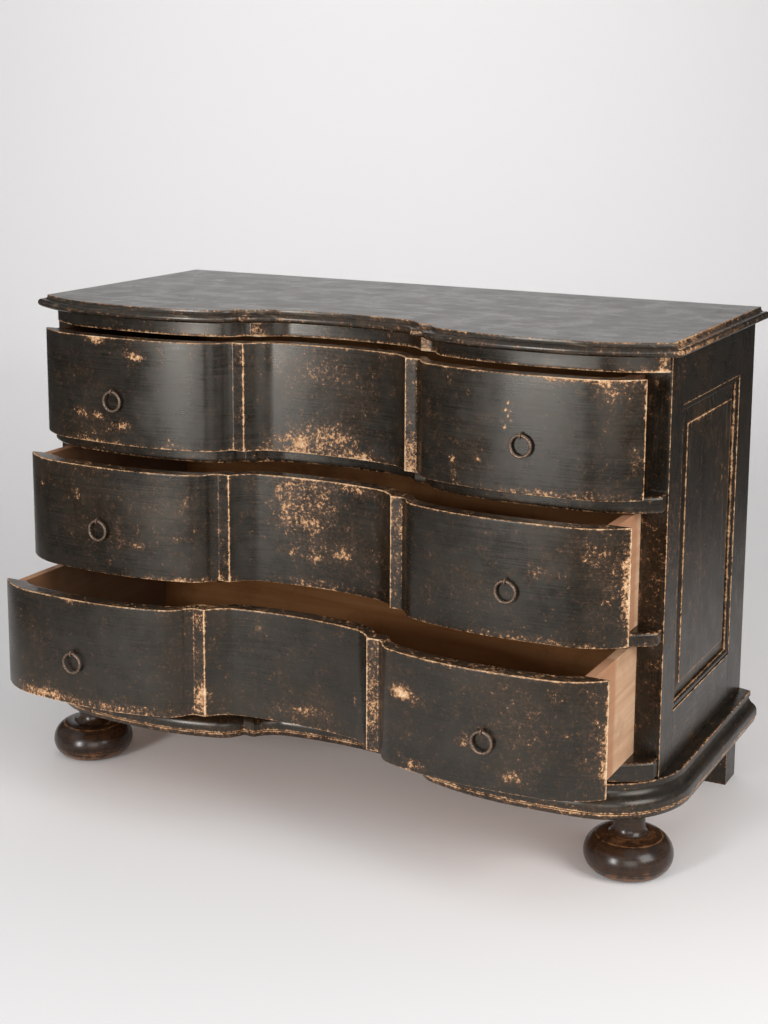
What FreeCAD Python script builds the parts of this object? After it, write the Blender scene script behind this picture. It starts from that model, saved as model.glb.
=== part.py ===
import FreeCAD, Part
import math
import os
import Sketcher

# Serpentine chest of three drawers. Front faces -Y, +X is to the right, +Z is up, millimetres.
# Each piece is drawn from the plane of the back, with the front at negative Y, and then moved
# so that the middle of the footprint, drawers standing open as at rest, lies at the origin.

driving_sizes = {
    # height of each layer, from the floor up
    "foot_height": 105.0,
    "plinth_height": 57.0,
    "bottom_rail_height": 31.0,
    "drawer_height": 180.0,
    "lower_rail_thick": 22.0,
    "upper_rail_thick": 26.0,
    "frieze_height": 26.0,
    "top_thick": 21.0,
    # carcase
    "carcase_half_width": 561.5,
    "carcase_depth": 447.5,
    "frame_thick": 18.0,
    "front_stile_face": 41.0,
    "front_stile_width": 60.5,
    "rear_stile_width": 83.0,
    "side_top_rail_width": 85.0,
    "side_bottom_rail_width": 87.5,
    "back_board_thick": 12.0,
    "back_rebate": 9.0,
    "bottom_board_thick": 12.0,
    "runner_width": 40.0,
    # serpentine line of the front, half of it, measured from the face of the stiles
    "hollow_set_back": 40.5,
    "bay_turn_run": 43.0,
    "bay_rise": 9.0,
    "strip_set_back": 1.5,
    "strip_inner": 148.0,
    "strip_width": 20.0,
    "sweep_run": 12.0,
    "sweep_rise": 11.5,
    "shoulder_run": 37.0,
    "shoulder_rise": 32.5,
    "crest_from_end": 197.3,
    "crest_rise": 52.0,
    "flank_run": 82.0,
    "flank_fall": 6.5,
    "end_rise": 4.5,
    # rails between the drawers
    "rail_proud": 18.0,
    "rail_width": 107.0,
    "rail_end_inset": 2.5,
    "rail_lip": 18.5,
    "rail_nose": 5.0,
    # moulded top
    "top_side_overhang": 23.5,
    "top_front_overhang": 38.0,
    "top_corner_overhang": 26.5,
    "top_flank_run": 165.0,
    "top_flank_fall": 3.0,
    "top_mould_width": 15.0,
    "top_fillet": 2.0,
    "top_nose_radius": 6.5,
    "top_nose_level": 7.5,
    "top_quirk": 10.0,
    # moulded plinth
    "plinth_overhang": 32.0,
    "plinth_corner_run": 133.5,
    "plinth_block_back": 117.0,
    "plinth_side_width": 75.0,
    "plinth_slope": 2.5,
    "plinth_fillet_inset": 12.0,
    "plinth_fillet": 9.0,
    "plinth_fillet_step": 3.0,
    "plinth_nose_top": 20.0,
    "plinth_band_height": 9.0,
    "plinth_band_inset": 1.5,
    "plinth_band_batter": 2.5,
    "plinth_quirk": 2.0,
    "base_back_depth": 60.0,
    # drawers
    "front_thick": 28.0,
    "front_end_inset": 19.2,
    "drawer_side_thick": 15.0,
    "drawer_back_thick": 12.0,
    "drawer_back_drop": 18.0,
    "drawer_bottom_thick": 8.0,
    "drawer_bottom_rise": 6.0,
    "open_top": 55.0,
    "open_middle": 102.5,
    "open_bottom": 180.0,
    # clearances
    "side_clear": 1.2,
    "lap_clear": 0.4,
    "under_clear": 0.5,
    "over_clear": 3.5,
    "rear_clear": 15.0,
    "panel_clear": 0.3,
    "eye_clear": 0.3,
    "shank_clear": 0.05,
    # side panels
    "panel_inset": 9.0,
    "panel_thick": 5.0,
    "panel_tongue": 8.0,
    "bead_width": 10.0,
    "bead_inset": 1.0,
    "bead_round": 4.0,
    "field_margin": 34.0,
    "field_inset": 3.0,
    "field_step": 1.5,
    # ring pulls
    "pull_from_end": 174.3,
    "pull_height": 90.0,
    "pull_stand_off": 6.5,
    "ring_radius": 16.2,
    "ring_wire": 2.5,
    "eye_wire": 1.4,
    "shank_radius": 2.2,
    "clench_length": 14.0,
    "clench_thick": 2.0,
    # feet
    "bun_inset": 47.0,
    "bun_set_back": 6.5,
    "bun_radius": 70.5,
    "bun_waist_height": 29.0,
    "bun_foot_radius": 46.0,
    "bun_top_height": 62.0,
    "bun_top_radius": 33.0,
    "bun_neck_radius": 25.0,
    "bun_neck_height": 76.0,
    "rear_foot_width": 80.0,
    "rear_foot_depth": 56.0,
    "rear_foot_inset": 3.0,
    "rear_foot_arris": 3.0,
}

document = FreeCAD.newDocument("commode")
sheet = document.addObject("Spreadsheet::Sheet", "sizes")
for row, (alias, number) in enumerate(driving_sizes.items(), start=1):
    sheet.set(f"A{row}", alias)
    sheet.set(f"B{row}", str(number))
    sheet.setAlias(f"B{row}", alias)
document.recompute()


class Length:
    # A length as a number, and as the words that tie it to the cells of the sheet.

    def __init__(self, number, words):
        self.number = number
        self.words = words

    def __add__(self, other):
        other = as_length(other)
        return Length(self.number + other.number, f"({self.words} + {other.words})")

    def __sub__(self, other):
        other = as_length(other)
        return Length(self.number - other.number, f"({self.words} - {other.words})")

    def __mul__(self, other):
        other = as_length(other)
        return Length(self.number * other.number, f"({self.words} * {other.words})")

    def __truediv__(self, other):
        other = as_length(other)
        return Length(self.number / other.number, f"({self.words} / {other.words})")

    def __neg__(self):
        return Length(-self.number, f"(-1 * {self.words})")


def as_length(value):
    return value if isinstance(value, Length) else Length(float(value), repr(float(value)))


class Sizes:
    # The cells of the sheet by name.

    def __init__(self):
        for name in driving_sizes:
            setattr(self, name, Length(float(sheet.get(name)), f"sizes.{name}"))


size = Sizes()
zero = as_length(0.0)
origin = (zero, zero, zero)

# Levels, widths and depths that follow from the driving sizes.
drawer_pitch = size.under_clear + size.drawer_height + size.over_clear
plinth_top = size.foot_height + size.plinth_height
bottom_rail_top = plinth_top + size.bottom_rail_height
lower_rail_bottom = bottom_rail_top + drawer_pitch
lower_rail_top = lower_rail_bottom + size.lower_rail_thick
upper_rail_bottom = lower_rail_top + drawer_pitch
upper_rail_top = upper_rail_bottom + size.upper_rail_thick
frieze_bottom = upper_rail_top + drawer_pitch
carcase_top = frieze_bottom + size.frieze_height
carcase_height = carcase_top - plinth_top
inside_half_width = size.carcase_half_width - size.frame_thick
opening_half_width = size.carcase_half_width - size.front_stile_face
front_half_width = size.carcase_half_width - size.front_end_inset
drawer_half_width = opening_half_width - size.side_clear
drawer_inner_half = drawer_half_width - size.drawer_side_thick
drawer_rear = size.back_board_thick + size.rear_clear
middle_depth = size.carcase_depth - size.hollow_set_back
crest_depth = size.carcase_depth + size.crest_rise
end_depth = size.carcase_depth + size.end_rise
lap_depth = size.carcase_depth + size.lap_clear
rail_back = size.carcase_depth - size.rail_width
lip_end = size.carcase_half_width - size.rail_end_inset
panel_front = size.carcase_depth - size.front_stile_width
panel_width = panel_front - size.rear_stile_width
panel_bottom = plinth_top + size.side_bottom_rail_width
panel_top = carcase_top - size.side_top_rail_width
panel_height = panel_top - panel_bottom

# The lobe falls away a little between its crest and the ring pulls.
crest_place = front_half_width - size.crest_from_end
lobe_run = size.crest_from_end - size.flank_run
lobe_radius = (lobe_run * lobe_run + size.flank_fall * size.flank_fall) / (size.flank_fall * 2)
pull_place = front_half_width - size.pull_from_end
pull_offset = pull_place - crest_place
pull_depth = crest_depth - pull_offset * pull_offset / (lobe_radius * 2)
pivot_depth = pull_depth + size.pull_stand_off
eye_radius = size.ring_wire + size.eye_clear + size.eye_wire

# At rest the piece reaches from its back to the pulls of the lowest drawer.
rest_depth = pivot_depth + eye_radius + size.eye_wire + size.open_bottom
back_place = rest_depth / 2

nodes = []


def place(piece, x, y, z):
    for axis, amount in zip("xyz", (x, y, z)):
        piece.setExpression(f"Placement.Base.{axis}", as_length(amount).words)


def keep(piece, label, shift=origin):
    # Names a finished piece and moves it from the plane of the back to its place in the whole.
    piece.Label = label
    place(piece, shift[0], shift[1] + back_place, shift[2])
    nodes.append(piece)


def bind(piece, **lengths):
    for name, length in lengths.items():
        piece.setExpression(name, as_length(length).words)


def box(name, low, high):
    block = document.addObject("Part::Box", name)
    bind(block, Length=high[0] - low[0], Width=high[1] - low[1], Height=high[2] - low[2])
    place(block, *low)
    return block


def board(label, low, high, shift=origin, grooves=()):
    # A board between two corners, less any grooves and rebates run along it.
    solid = box(label + "_stock", low, high)
    if not grooves:
        keep(solid, label, [corner + move for corner, move in zip(low, shift)])
        return
    for number, corners in enumerate(grooves, start=1):
        cut = document.addObject("Part::Cut", f"{label}_cut{number}")
        cut.Base = solid
        cut.Tool = box(f"{label}_groove{number}", *corners)
        solid = cut
    keep(solid, label, shift)


two_sides = (("left", -1), ("right", 1))


def across(sign, inner, outer):
    # The low and high X of what lies between two distances from the middle, on either side.
    return (inner, outer) if sign > 0 else (-outer, -inner)


class Outline:
    # A line of straight runs and arcs whose corners are tied to the sheet.

    turned_round = {
        "tangent_start": "tangent_end",
        "tangent_end": "tangent_start",
        "upright_start": "upright_end",
        "upright_end": "upright_start",
        "level_start": "level_end",
        "level_end": "level_start",
    }

    def __init__(self, x, y):
        self.corners = [(as_length(x), as_length(y))]
        self.edges = []

    def line(self, x, y, *rules):
        self.corners.append((as_length(x), as_length(y)))
        self.edges.append((None, rules))
        return self

    def arc(self, x, y, centre, *rules):
        self.corners.append((as_length(x), as_length(y)))
        self.edges.append((centre, rules))
        return self

    def run_out(self, x):
        # Goes straight on from the end of an arc as far as x.
        end = vector_of(self.corners[-1])
        normal = end - FreeCAD.Vector(*self.edges[-1][0])
        y = end.y - normal.x / normal.y * (as_length(x).number - end.x)
        return self.line(x, Length(y, None), "tangent_start")

    def back_along(self, other):
        # Follows another line from its end to its start.
        for index in reversed(range(len(other.edges))):
            centre, rules = other.edges[index]
            self.corners.append(other.corners[index])
            self.edges.append((centre, tuple(self.turned_round[rule] for rule in rules)))
        return self

    def draw(self, sketch, closed=True):
        if closed:
            self.edges.append((None, ()))
        ends = []
        for index, (centre, rules) in enumerate(self.edges):
            first, last = (vector_of(self.corners[spot % len(self.corners)]) for spot in (index, index + 1))
            if centre is None:
                ends.append((sketch.addGeometry(Part.LineSegment(first, last)), 1, 2))
                continue
            middle = FreeCAD.Vector(*centre)
            circle = Part.Circle(middle, FreeCAD.Vector(0, 0, 1), (first - middle).Length)
            turns_left = (first - middle).cross(last - middle).z > 0
            order = (first, last) if turns_left else (last, first)
            angles = [math.atan2(spot.y - middle.y, spot.x - middle.x) for spot in order]
            number = sketch.addGeometry(Part.ArcOfCircle(circle, *angles))
            ends.append((number, 1, 2) if turns_left else (number, 2, 1))
        self.constrain(sketch, ends, closed)

    def constrain(self, sketch, ends, closed):
        ties = []

        def tie(words, *parts):
            ties.append((words, Sketcher.Constraint(*parts)))

        count = len(self.edges)
        smooth = {index for index in range(count) if "tangent_start" in self.edges[index][1]}
        smooth |= {index + 1 for index in range(count) if "tangent_end" in self.edges[index][1]}
        for index in range(0 if closed else 1, count):
            before, after = ends[index - 1], ends[index]
            kind = "Tangent" if index in smooth else "Coincident"
            tie(None, kind, before[0], before[2], after[0], after[1])
        for index, corner in enumerate(self.corners):
            spot = ends[index][:2] if index < count else (ends[-1][0], ends[-1][2])
            for kind, axis, length in zip(("DistanceX", "DistanceY"), (-2, -1), corner):
                if length is zero:
                    tie(None, "PointOnObject", *spot, axis)
                elif length.words:
                    tie(length.words, kind, *spot, length.number)
        for (centre, rules), (number, first, last) in zip(self.edges, ends):
            for rule in rules:
                kind, _, which = rule.partition("_")
                if kind != "tangent":
                    direction = "Vertical" if kind == "upright" else "Horizontal"
                    tie(None, direction, number, 3, number, first if which == "start" else last)
        numbers = sketch.addConstraint([constraint for words, constraint in ties])
        for number, (words, constraint) in zip(numbers, ties):
            if words:
                sketch.setExpression(f"Constraints[{number}]", words)


def vector_of(corner):
    return FreeCAD.Vector(corner[0].number, corner[1].number)


def upright_arc(crest, far):
    # Centre of the arc that runs level at one corner and passes through another.
    chord = vector_of(far) - vector_of(crest)
    return (crest[0].number, crest[1].number + chord.Length ** 2 / (2 * chord.y))


def level_arc(corner, far):
    # Centre of the arc that runs upright at one corner and passes through another.
    chord = vector_of(far) - vector_of(corner)
    return (corner[0].number + chord.Length ** 2 / (2 * chord.x), corner[1].number)


def smooth_arc(joint, far, neighbour):
    # Centre of the arc that leaves a joint smoothly from its neighbour and passes through a corner.
    start = vector_of(joint)
    normal = (FreeCAD.Vector(*neighbour) - start).normalize()
    chord = vector_of(far) - start
    centre = start + normal * (chord.Length ** 2 / (2 * normal.dot(chord)))
    return (centre.x, centre.y)


def follow_front(forward, end, flank, swept=True):
    # Half of the serpentine line, from the middle to its right end: a hollow bay that turns
    # forward, a flat strip, a short sweep forward and a long lobe that rounds off at its end.
    # Forward moves all of it.
    def at(x, rise):
        return (as_length(x), -(size.carcase_depth + rise + forward))

    strip_outer = size.strip_inner + size.strip_width
    middle = at(zero, -size.hollow_set_back)
    bay_turn = at(size.strip_inner - size.bay_turn_run, size.bay_rise - size.hollow_set_back)
    strip_start = at(size.strip_inner, -size.strip_set_back)
    strip_end = at(strip_outer, -size.strip_set_back)
    sweep = at(strip_outer + size.sweep_run, size.sweep_rise - size.strip_set_back)
    shoulder = at(strip_outer + size.shoulder_run, size.shoulder_rise - size.strip_set_back)
    crest = at(crest_place, size.crest_rise)
    inner_centre = upright_arc(crest, shoulder)
    outer_centre = upright_arc(crest, flank)
    outline = Outline(*middle)
    bay_centre = upright_arc(middle, bay_turn)
    outline.arc(*bay_turn, bay_centre, "upright_start")
    outline.arc(*strip_start, smooth_arc(bay_turn, strip_start, bay_centre), "tangent_start")
    outline.line(*strip_end)
    turn_start = sweep if swept else strip_end
    turn_centre = smooth_arc(shoulder, turn_start, inner_centre)
    if swept:
        outline.arc(*sweep, smooth_arc(sweep, strip_end, turn_centre), "tangent_end")
    outline.arc(*shoulder, turn_centre, "tangent_end")
    outline.arc(*crest, inner_centre, "upright_end")
    outline.arc(*flank, outer_centre, "upright_start")
    if end:
        outline.arc(*end, smooth_arc(flank, end, outer_centre), "tangent_start")
    return outline


def front_line(forward, end_x, depth):
    # The serpentine line of a drawer or rail, as far as end_x to each side and the depth there.
    flank = (front_half_width - size.flank_run, -(crest_depth - size.flank_fall + forward))
    return follow_front(forward, (end_x, -depth), flank)


def lap_stile(outline):
    # Ends the line of a rail: a lip across the face of the stile, then the rail between stiles.
    outline.line(lip_end, -size.carcase_depth)
    outline.line(opening_half_width, -size.carcase_depth)
    outline.line(opening_half_width, -rail_back)
    return outline.line(zero, -rail_back)


def plane_of(body, role):
    return next(plane for plane in body.Origin.OriginFeatures if plane.Role == role)


def new_sketch(body, name, role, *outlines, closed=True, lift=None):
    sketch = body.newObject("Sketcher::SketchObject", name)
    sketch.AttachmentSupport = (plane_of(body, role), [""])
    sketch.MapMode = "FlatFace"
    if lift:
        sketch.setExpression("AttachmentOffset.Base.z", lift.words)
    for outline in outlines:
        outline.draw(sketch, closed)
    return sketch


def new_body(label):
    return document.addObject("PartDesign::Body", label + "_body")


def pad(body, sketch, length):
    feature = body.newObject("PartDesign::Pad", sketch.Name + "_pad")
    feature.Profile = sketch
    bind(feature, Length=length)
    return feature


def mirror_halves(body, label):
    # The right half, drawn first, is repeated to the left of the middle.
    document.recompute()
    whole = body.newObject("PartDesign::Mirrored", label + "_whole")
    whole.TransformMode = "Whole shape"
    whole.MirrorPlane = (plane_of(body, "YZ_Plane"), [""])
    body.Tip = whole
    document.recompute()
    return whole


def run_moulding(body, name, path, waste):
    # Cuts a moulding by carrying the shape of the waste along the edge, mitred at its corners.
    document.recompute()
    before = body.Shape.Volume
    feature = body.newObject("PartDesign::SubtractivePipe", name)
    feature.Profile = new_sketch(body, name + "_waste", "YZ_Plane", waste)
    feature.Spine = new_sketch(body, name + "_path", "XY_Plane", path, closed=False)
    feature.Transition = "Right corner"
    document.recompute()
    if not feature.Shape.Volume < before:
        raise RuntimeError(name + " cut nothing")


def cut_through(body, name, sketch):
    document.recompute()
    before = body.Shape.Volume
    feature = body.newObject("PartDesign::Pocket", name)
    feature.Profile = sketch
    feature.Type = "ThroughAll"
    feature.Midplane = True
    body.Tip = feature
    document.recompute()
    if not feature.Shape.Volume < before:
        raise RuntimeError(name + " cut nothing")


def ease_edges(body, base, name, radius, chosen):
    names = [f"Edge{number}" for number, edge in enumerate(base.Shape.Edges, start=1) if chosen(edge)]
    feature = body.newObject("PartDesign::Fillet", name)
    feature.Base = (base, names)
    bind(feature, Radius=radius)
    body.Tip = feature


near = 0.01


def make_frieze():
    # The rail under the top, as far forward as the drawers.
    body = new_body("frieze_rail")
    outline = lap_stile(front_line(zero, lip_end, end_depth))
    pad(body, new_sketch(body, "frieze_plan", "XY_Plane", outline), size.frieze_height)
    mirror_halves(body, "frieze_rail")
    keep(body, "frieze_rail", (zero, zero, frieze_bottom))


def make_drawer_rail(label, bottom, thick):
    # A rail between drawers, its nose proud of them, with a lip across the face of each stile.
    body = new_body(label)
    outline = lap_stile(front_line(size.rail_proud, lip_end, size.carcase_depth + size.rail_lip))
    half = pad(body, new_sketch(body, label + "_plan", "XY_Plane", outline), thick)
    document.recompute()

    def on_nose(edge):
        spot = edge.CenterOfMass
        span = edge.BoundBox
        behind = spot.y > -rail_back.number - near
        on_stile = abs(spot.y + size.carcase_depth.number) < near and span.YLength < near
        on_side = abs(spot.x - opening_half_width.number) < near and span.XLength < near
        at_middle = abs(spot.x) < near
        return span.ZLength < near and not (behind or on_stile or on_side or at_middle)

    ease_edges(body, half, label + "_nose", size.rail_nose, on_nose)
    mirror_halves(body, label)
    keep(body, label, (zero, zero, bottom))


def make_top():
    # A slab sawn a little full, with the moulding cut along the front and both sides down to
    # the true line, so that the cuts meet in a mitre at each corner.
    body = new_body("top_board")
    forward = size.top_front_overhang
    nose_x = size.carcase_half_width + size.top_side_overhang
    corner_depth = size.carcase_depth + size.top_corner_overhang
    flank_depth = crest_depth + forward - size.top_flank_fall

    def edge_line(extra):
        end = (nose_x + extra, -(corner_depth + extra))
        flank = (nose_x - size.top_flank_run, -(flank_depth + extra))
        return follow_front(forward + extra, end, flank, swept=False)

    slab = edge_line(size.top_fillet).line(nose_x + size.top_fillet, zero).line(zero, zero)
    pad(body, new_sketch(body, "top_plan", "XY_Plane", slab), size.top_thick)
    path = edge_line(zero).run_out(nose_x + size.top_mould_width)
    run_moulding(body, "top_moulding", path, top_waste(-(middle_depth + forward), 1))
    side_waste = new_sketch(body, "top_side_waste", "XZ_Plane", top_waste(nose_x, -1))
    cut_through(body, "top_side_moulding", side_waste)
    mirror_halves(body, "top_board")
    keep(body, "top_board", (zero, zero, carcase_top))


def top_waste(edge, inward):
    # Below the flat: a small fillet, a cove, a round nose and a square quirk underneath.
    def at(inset, level):
        return (edge + inset * inward, as_length(level))

    spare = size.top_fillet
    fillet = at(size.top_mould_width, size.top_thick - size.top_fillet)
    nose_high = at(size.top_nose_radius, size.top_nose_level + size.top_nose_radius)
    nose_low = at(size.top_nose_radius, size.top_nose_level - size.top_nose_radius)
    nose_centre = (nose_high[0].number, size.top_nose_level.number)
    waste = Outline(*at(-spare * 3, size.top_thick + spare))
    waste.line(*at(size.top_mould_width, size.top_thick + spare))
    waste.line(*fillet)
    waste.arc(*nose_high, level_arc(fillet, nose_high), "level_start")
    waste.arc(*at(zero, size.top_nose_level), nose_centre, "level_end")
    waste.arc(*nose_low, nose_centre, "upright_end")
    waste.line(*at(size.top_quirk, nose_low[1]))
    waste.line(*at(size.top_quirk, -spare))
    waste.line(*at(-spare * 3, -spare))
    return waste


def follow_plinth(outline, edge, inward):
    # The face of the plinth from its top to its foot: a slope, a fillet, an ogee, a nose, a quirk
    # and a battered band. Distances go inward from the outermost line.
    def at(inset, level):
        return (edge + inset * inward, as_length(level))

    fillet_top = size.plinth_height - size.plinth_slope
    fillet_bottom = fillet_top - size.plinth_fillet
    ogee_inset = size.plinth_fillet_inset + size.plinth_fillet_step
    ogee_top = at(ogee_inset, fillet_bottom)
    ogee_middle = at(ogee_inset / 2, (fillet_bottom + size.plinth_nose_top) / 2)
    nose_top = at(zero, size.plinth_nose_top)
    quirk_top = size.plinth_band_height + size.plinth_quirk
    quirk_inset = size.plinth_band_inset + size.plinth_quirk
    outline.line(*at(size.plinth_overhang, size.plinth_height))
    outline.line(*at(size.plinth_fillet_inset, fillet_top))
    outline.line(*at(size.plinth_fillet_inset, fillet_bottom))
    outline.line(*ogee_top)
    outline.arc(*ogee_middle, level_arc(ogee_top, ogee_middle), "level_start")
    outline.arc(*nose_top, level_arc(nose_top, ogee_middle), "level_end")
    outline.line(*at(zero, quirk_top))
    outline.line(*at(quirk_inset, quirk_top))
    outline.line(*at(quirk_inset, size.plinth_band_height))
    outline.line(*at(size.plinth_band_inset, size.plinth_band_height))
    outline.line(*at(size.plinth_band_inset + size.plinth_band_batter, zero))


def make_plinth_front():
    # A thick block under the front, sawn a little full, then moulded along the serpentine and
    # round both corners down to the true line.
    body = new_body("plinth_front")
    forward = size.plinth_overhang
    block_back = -(size.carcase_depth - size.plinth_block_back)
    spare = size.plinth_fillet_step

    def edge_line(extra, back):
        # The lobe turns the corner in one arc that ends square to the side.
        nose_x = size.carcase_half_width + size.plinth_overhang + extra
        flank_depth = crest_depth + forward + extra - size.flank_fall
        flank = (nose_x - size.plinth_corner_run, -flank_depth)
        outline = follow_front(forward + extra, None, flank, swept=False)
        start = vector_of(flank)
        inward = (FreeCAD.Vector(*outline.edges[-1][0]) - start).normalize()
        centre = start + inward * ((nose_x.number - start.x) / (1 + inward.x))
        turn = Length(centre.y, None)
        outline.arc(nose_x, turn, (centre.x, centre.y), "tangent_start", "level_end")
        return outline.line(nose_x, back)

    slab = edge_line(spare, block_back).line(zero, block_back)
    pad(body, new_sketch(body, "plinth_plan", "XY_Plane", slab), size.plinth_height)
    edge = -(middle_depth + forward)
    outside = edge - spare * 3
    waste = Outline(outside, size.plinth_height + spare)
    waste.line(edge + size.plinth_overhang, size.plinth_height + spare)
    follow_plinth(waste, edge, 1)
    waste.line(waste.corners[-1][0], -spare).line(outside, -spare)
    run_moulding(body, "plinth_moulding", edge_line(zero, block_back + spare), waste)
    mirror_halves(body, "plinth_front")
    keep(body, "plinth_front", (zero, zero, size.foot_height))


def make_plinth_side(side, sign):
    # A straight length of the same moulding, from the front block to the back.
    label = "plinth_" + side
    body = new_body(label)
    edge = (size.carcase_half_width + size.plinth_overhang) * sign
    inner = edge - size.plinth_side_width * sign
    profile = Outline(inner, size.plinth_height)
    follow_plinth(profile, edge, -sign)
    profile.line(inner, zero)
    length = size.carcase_depth - size.plinth_block_back
    pad(body, new_sketch(body, label + "_profile", "XZ_Plane", profile), length)
    keep(body, label, (zero, zero, size.foot_height))


def make_side_frame(side, sign):
    # Stiles and rails grooved for the panel; the rear stile is also rebated for the back boards.
    x_low, x_high = across(sign, inside_half_width, size.carcase_half_width)
    face_low, face_high = across(sign, opening_half_width, size.carcase_half_width)
    groove_outer = size.carcase_half_width - size.panel_inset
    groove = across(sign, groove_outer - size.panel_thick - size.panel_clear, groove_outer)
    spare = size.panel_tongue
    front, rear = -panel_front, -size.rear_stile_width
    z_low, z_high = plinth_top, carcase_top

    def along_panel(y_low, y_high, low, high):
        return ((groove[0], y_low, low), (groove[1], y_high, high))

    upright = along_panel(front - spare, front + spare, z_low, z_high)
    board(
        "front_stile_" + side,
        (face_low, -size.carcase_depth, z_low),
        (face_high, front, z_high),
        grooves=[upright],
    )
    rebate_x = across(sign, inside_half_width - spare, inside_half_width + size.back_rebate)
    rebate = ((rebate_x[0], -size.back_board_thick, z_low), (rebate_x[1], spare, z_high))
    upright = along_panel(rear - spare, rear + spare, z_low, z_high)
    board(
        "rear_stile_" + side,
        (x_low, rear, z_low),
        (x_high, zero, z_high),
        grooves=[upright, rebate],
    )
    for name, low, high, edge in (
        ("side_top_rail_", panel_top, z_high, panel_top),
        ("side_bottom_rail_", z_low, panel_bottom, panel_bottom),
    ):
        level = along_panel(front, rear, edge - spare, edge + spare)
        board(name + side, (x_low, front, low), (x_high, rear, high), grooves=[level])


def rectangle(half_width, half_height):
    return (
        Outline(-half_width, -half_height)
        .line(half_width, -half_height)
        .line(half_width, half_height)
        .line(-half_width, half_height)
    )


def keep_on_side(body, label, sign, x):
    # A piece drawn about the middle of the panel, looking outward, on either side of the carcase.
    turn = 0 if sign > 0 else 180
    body.Placement.Rotation = FreeCAD.Rotation(FreeCAD.Vector(0, 0, 1), turn)
    middle_y = -(panel_front + size.rear_stile_width) / 2
    keep(body, label, (x * sign, middle_y, (panel_bottom + panel_top) / 2))


def make_side_panel(side, sign):
    # A panel with a tongue in the frame, a bevelled margin and a raised field.
    label = "side_panel_" + side
    body = new_body(label)
    half_width, half_height = panel_width / 2, panel_height / 2
    tongue = size.panel_tongue - size.panel_clear
    field_level = size.panel_thick + size.panel_inset - size.field_inset
    bevel_level = field_level - size.field_step

    def plan(name, inset, lift=None):
        outline = rectangle(half_width - inset, half_height - inset)
        return new_sketch(body, f"{label}_{name}", "YZ_Plane", outline, lift=lift)

    pad(body, plan("plate", -tongue), size.panel_thick)
    bevel = body.newObject("PartDesign::AdditiveLoft", label + "_bevel")
    bevel.Profile = plan("margin", size.bead_width + size.panel_clear, size.panel_thick)
    bevel.Sections = [plan("slope", size.field_margin, bevel_level)]
    bevel.Ruled = True
    pad(body, plan("field", size.field_margin, bevel_level), size.field_step)
    plate_x = size.carcase_half_width - size.panel_inset - size.panel_thick
    keep_on_side(body, label, sign, plate_x)


def make_panel_bead(side, sign):
    # A rounded bead planted round the panel, just inside the frame.
    label = "panel_bead_" + side
    body = new_body(label)
    half_width, half_height = panel_width / 2, panel_height / 2
    outer = rectangle(half_width, half_height)
    inner = rectangle(half_width - size.bead_width, half_height - size.bead_width)
    height = size.panel_inset - size.bead_inset
    ring = pad(body, new_sketch(body, label + "_plan", "YZ_Plane", outer, inner), height)
    document.recompute()

    def on_face(edge):
        return edge.BoundBox.XMin > height.number - near

    ease_edges(body, ring, label + "_round", size.bead_round, on_face)
    keep_on_side(body, label, sign, size.carcase_half_width - size.panel_inset)


def make_back_and_inside():
    # Three planks across the back, the bottom board, and what the drawers run on.
    plank = carcase_height / 3
    plank_half = inside_half_width + size.back_rebate
    for number, name in enumerate(("lower", "middle", "upper")):
        low = plinth_top + plank * number
        high = plinth_top + plank * (number + 1)
        board(
            "back_board_" + name,
            (-plank_half, -size.back_board_thick, low),
            (plank_half, zero, high),
        )
    inside_front, inside_back = -rail_back, -size.back_board_thick
    floor = plinth_top + size.bottom_board_thick
    board(
        "bottom_board",
        (-inside_half_width, inside_front, plinth_top),
        (inside_half_width, inside_back, floor),
    )
    runner_inner = opening_half_width - size.runner_width
    levels = (
        ("bottom_runner_", floor, bottom_rail_top),
        ("lower_runner_", lower_rail_bottom, lower_rail_top),
        ("upper_runner_", upper_rail_bottom, upper_rail_top),
    )
    for side, sign in two_sides:
        x_low, x_high = across(sign, runner_inner, inside_half_width)
        for name, low, high in levels:
            board(name + side, (x_low, inside_front, low), (x_high, inside_back, high))
    kickers = document.addObject("Part::Compound", "kickers_pair")
    kickers.Links = [
        box(
            "kicker_" + side,
            (across(sign, runner_inner, inside_half_width)[0], inside_front, frieze_bottom),
            (across(sign, runner_inner, inside_half_width)[1], inside_back, carcase_top),
        )
        for side, sign in two_sides
    ]
    keep(kickers, "kickers")
    base_half = size.carcase_half_width + size.plinth_overhang - size.plinth_side_width
    board(
        "base_back_rail",
        (-base_half, -size.base_back_depth, size.foot_height),
        (base_half, zero, plinth_top),
    )


def make_bun_foot(side, sign):
    # A turned foot: a flattened ball under a short neck.
    label = "bun_foot_" + side
    body = new_body(label)
    waist = (size.bun_radius, size.bun_waist_height)
    sole = (size.bun_foot_radius, zero)
    shoulder = (size.bun_top_radius, size.bun_top_height)
    neck = (size.bun_neck_radius, size.bun_neck_height)
    profile = Outline(zero, zero).line(*sole)
    profile.arc(*waist, level_arc(waist, sole), "level_end")
    profile.arc(*shoulder, level_arc(waist, shoulder), "level_start")
    profile.arc(*neck, level_arc(neck, shoulder), "level_end")
    profile.line(size.bun_neck_radius, size.foot_height).line(zero, size.foot_height)
    turned = body.newObject("PartDesign::Revolution", label + "_turned")
    turned.Profile = new_sketch(body, label + "_profile", "XZ_Plane", profile)
    turned.ReferenceAxis = (turned.Profile[0], ["V_Axis"])
    turned.Angle = 360
    place_x = (size.carcase_half_width - size.bun_inset) * sign
    keep(body, label, (place_x, -(size.carcase_depth - size.bun_set_back), zero))


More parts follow.
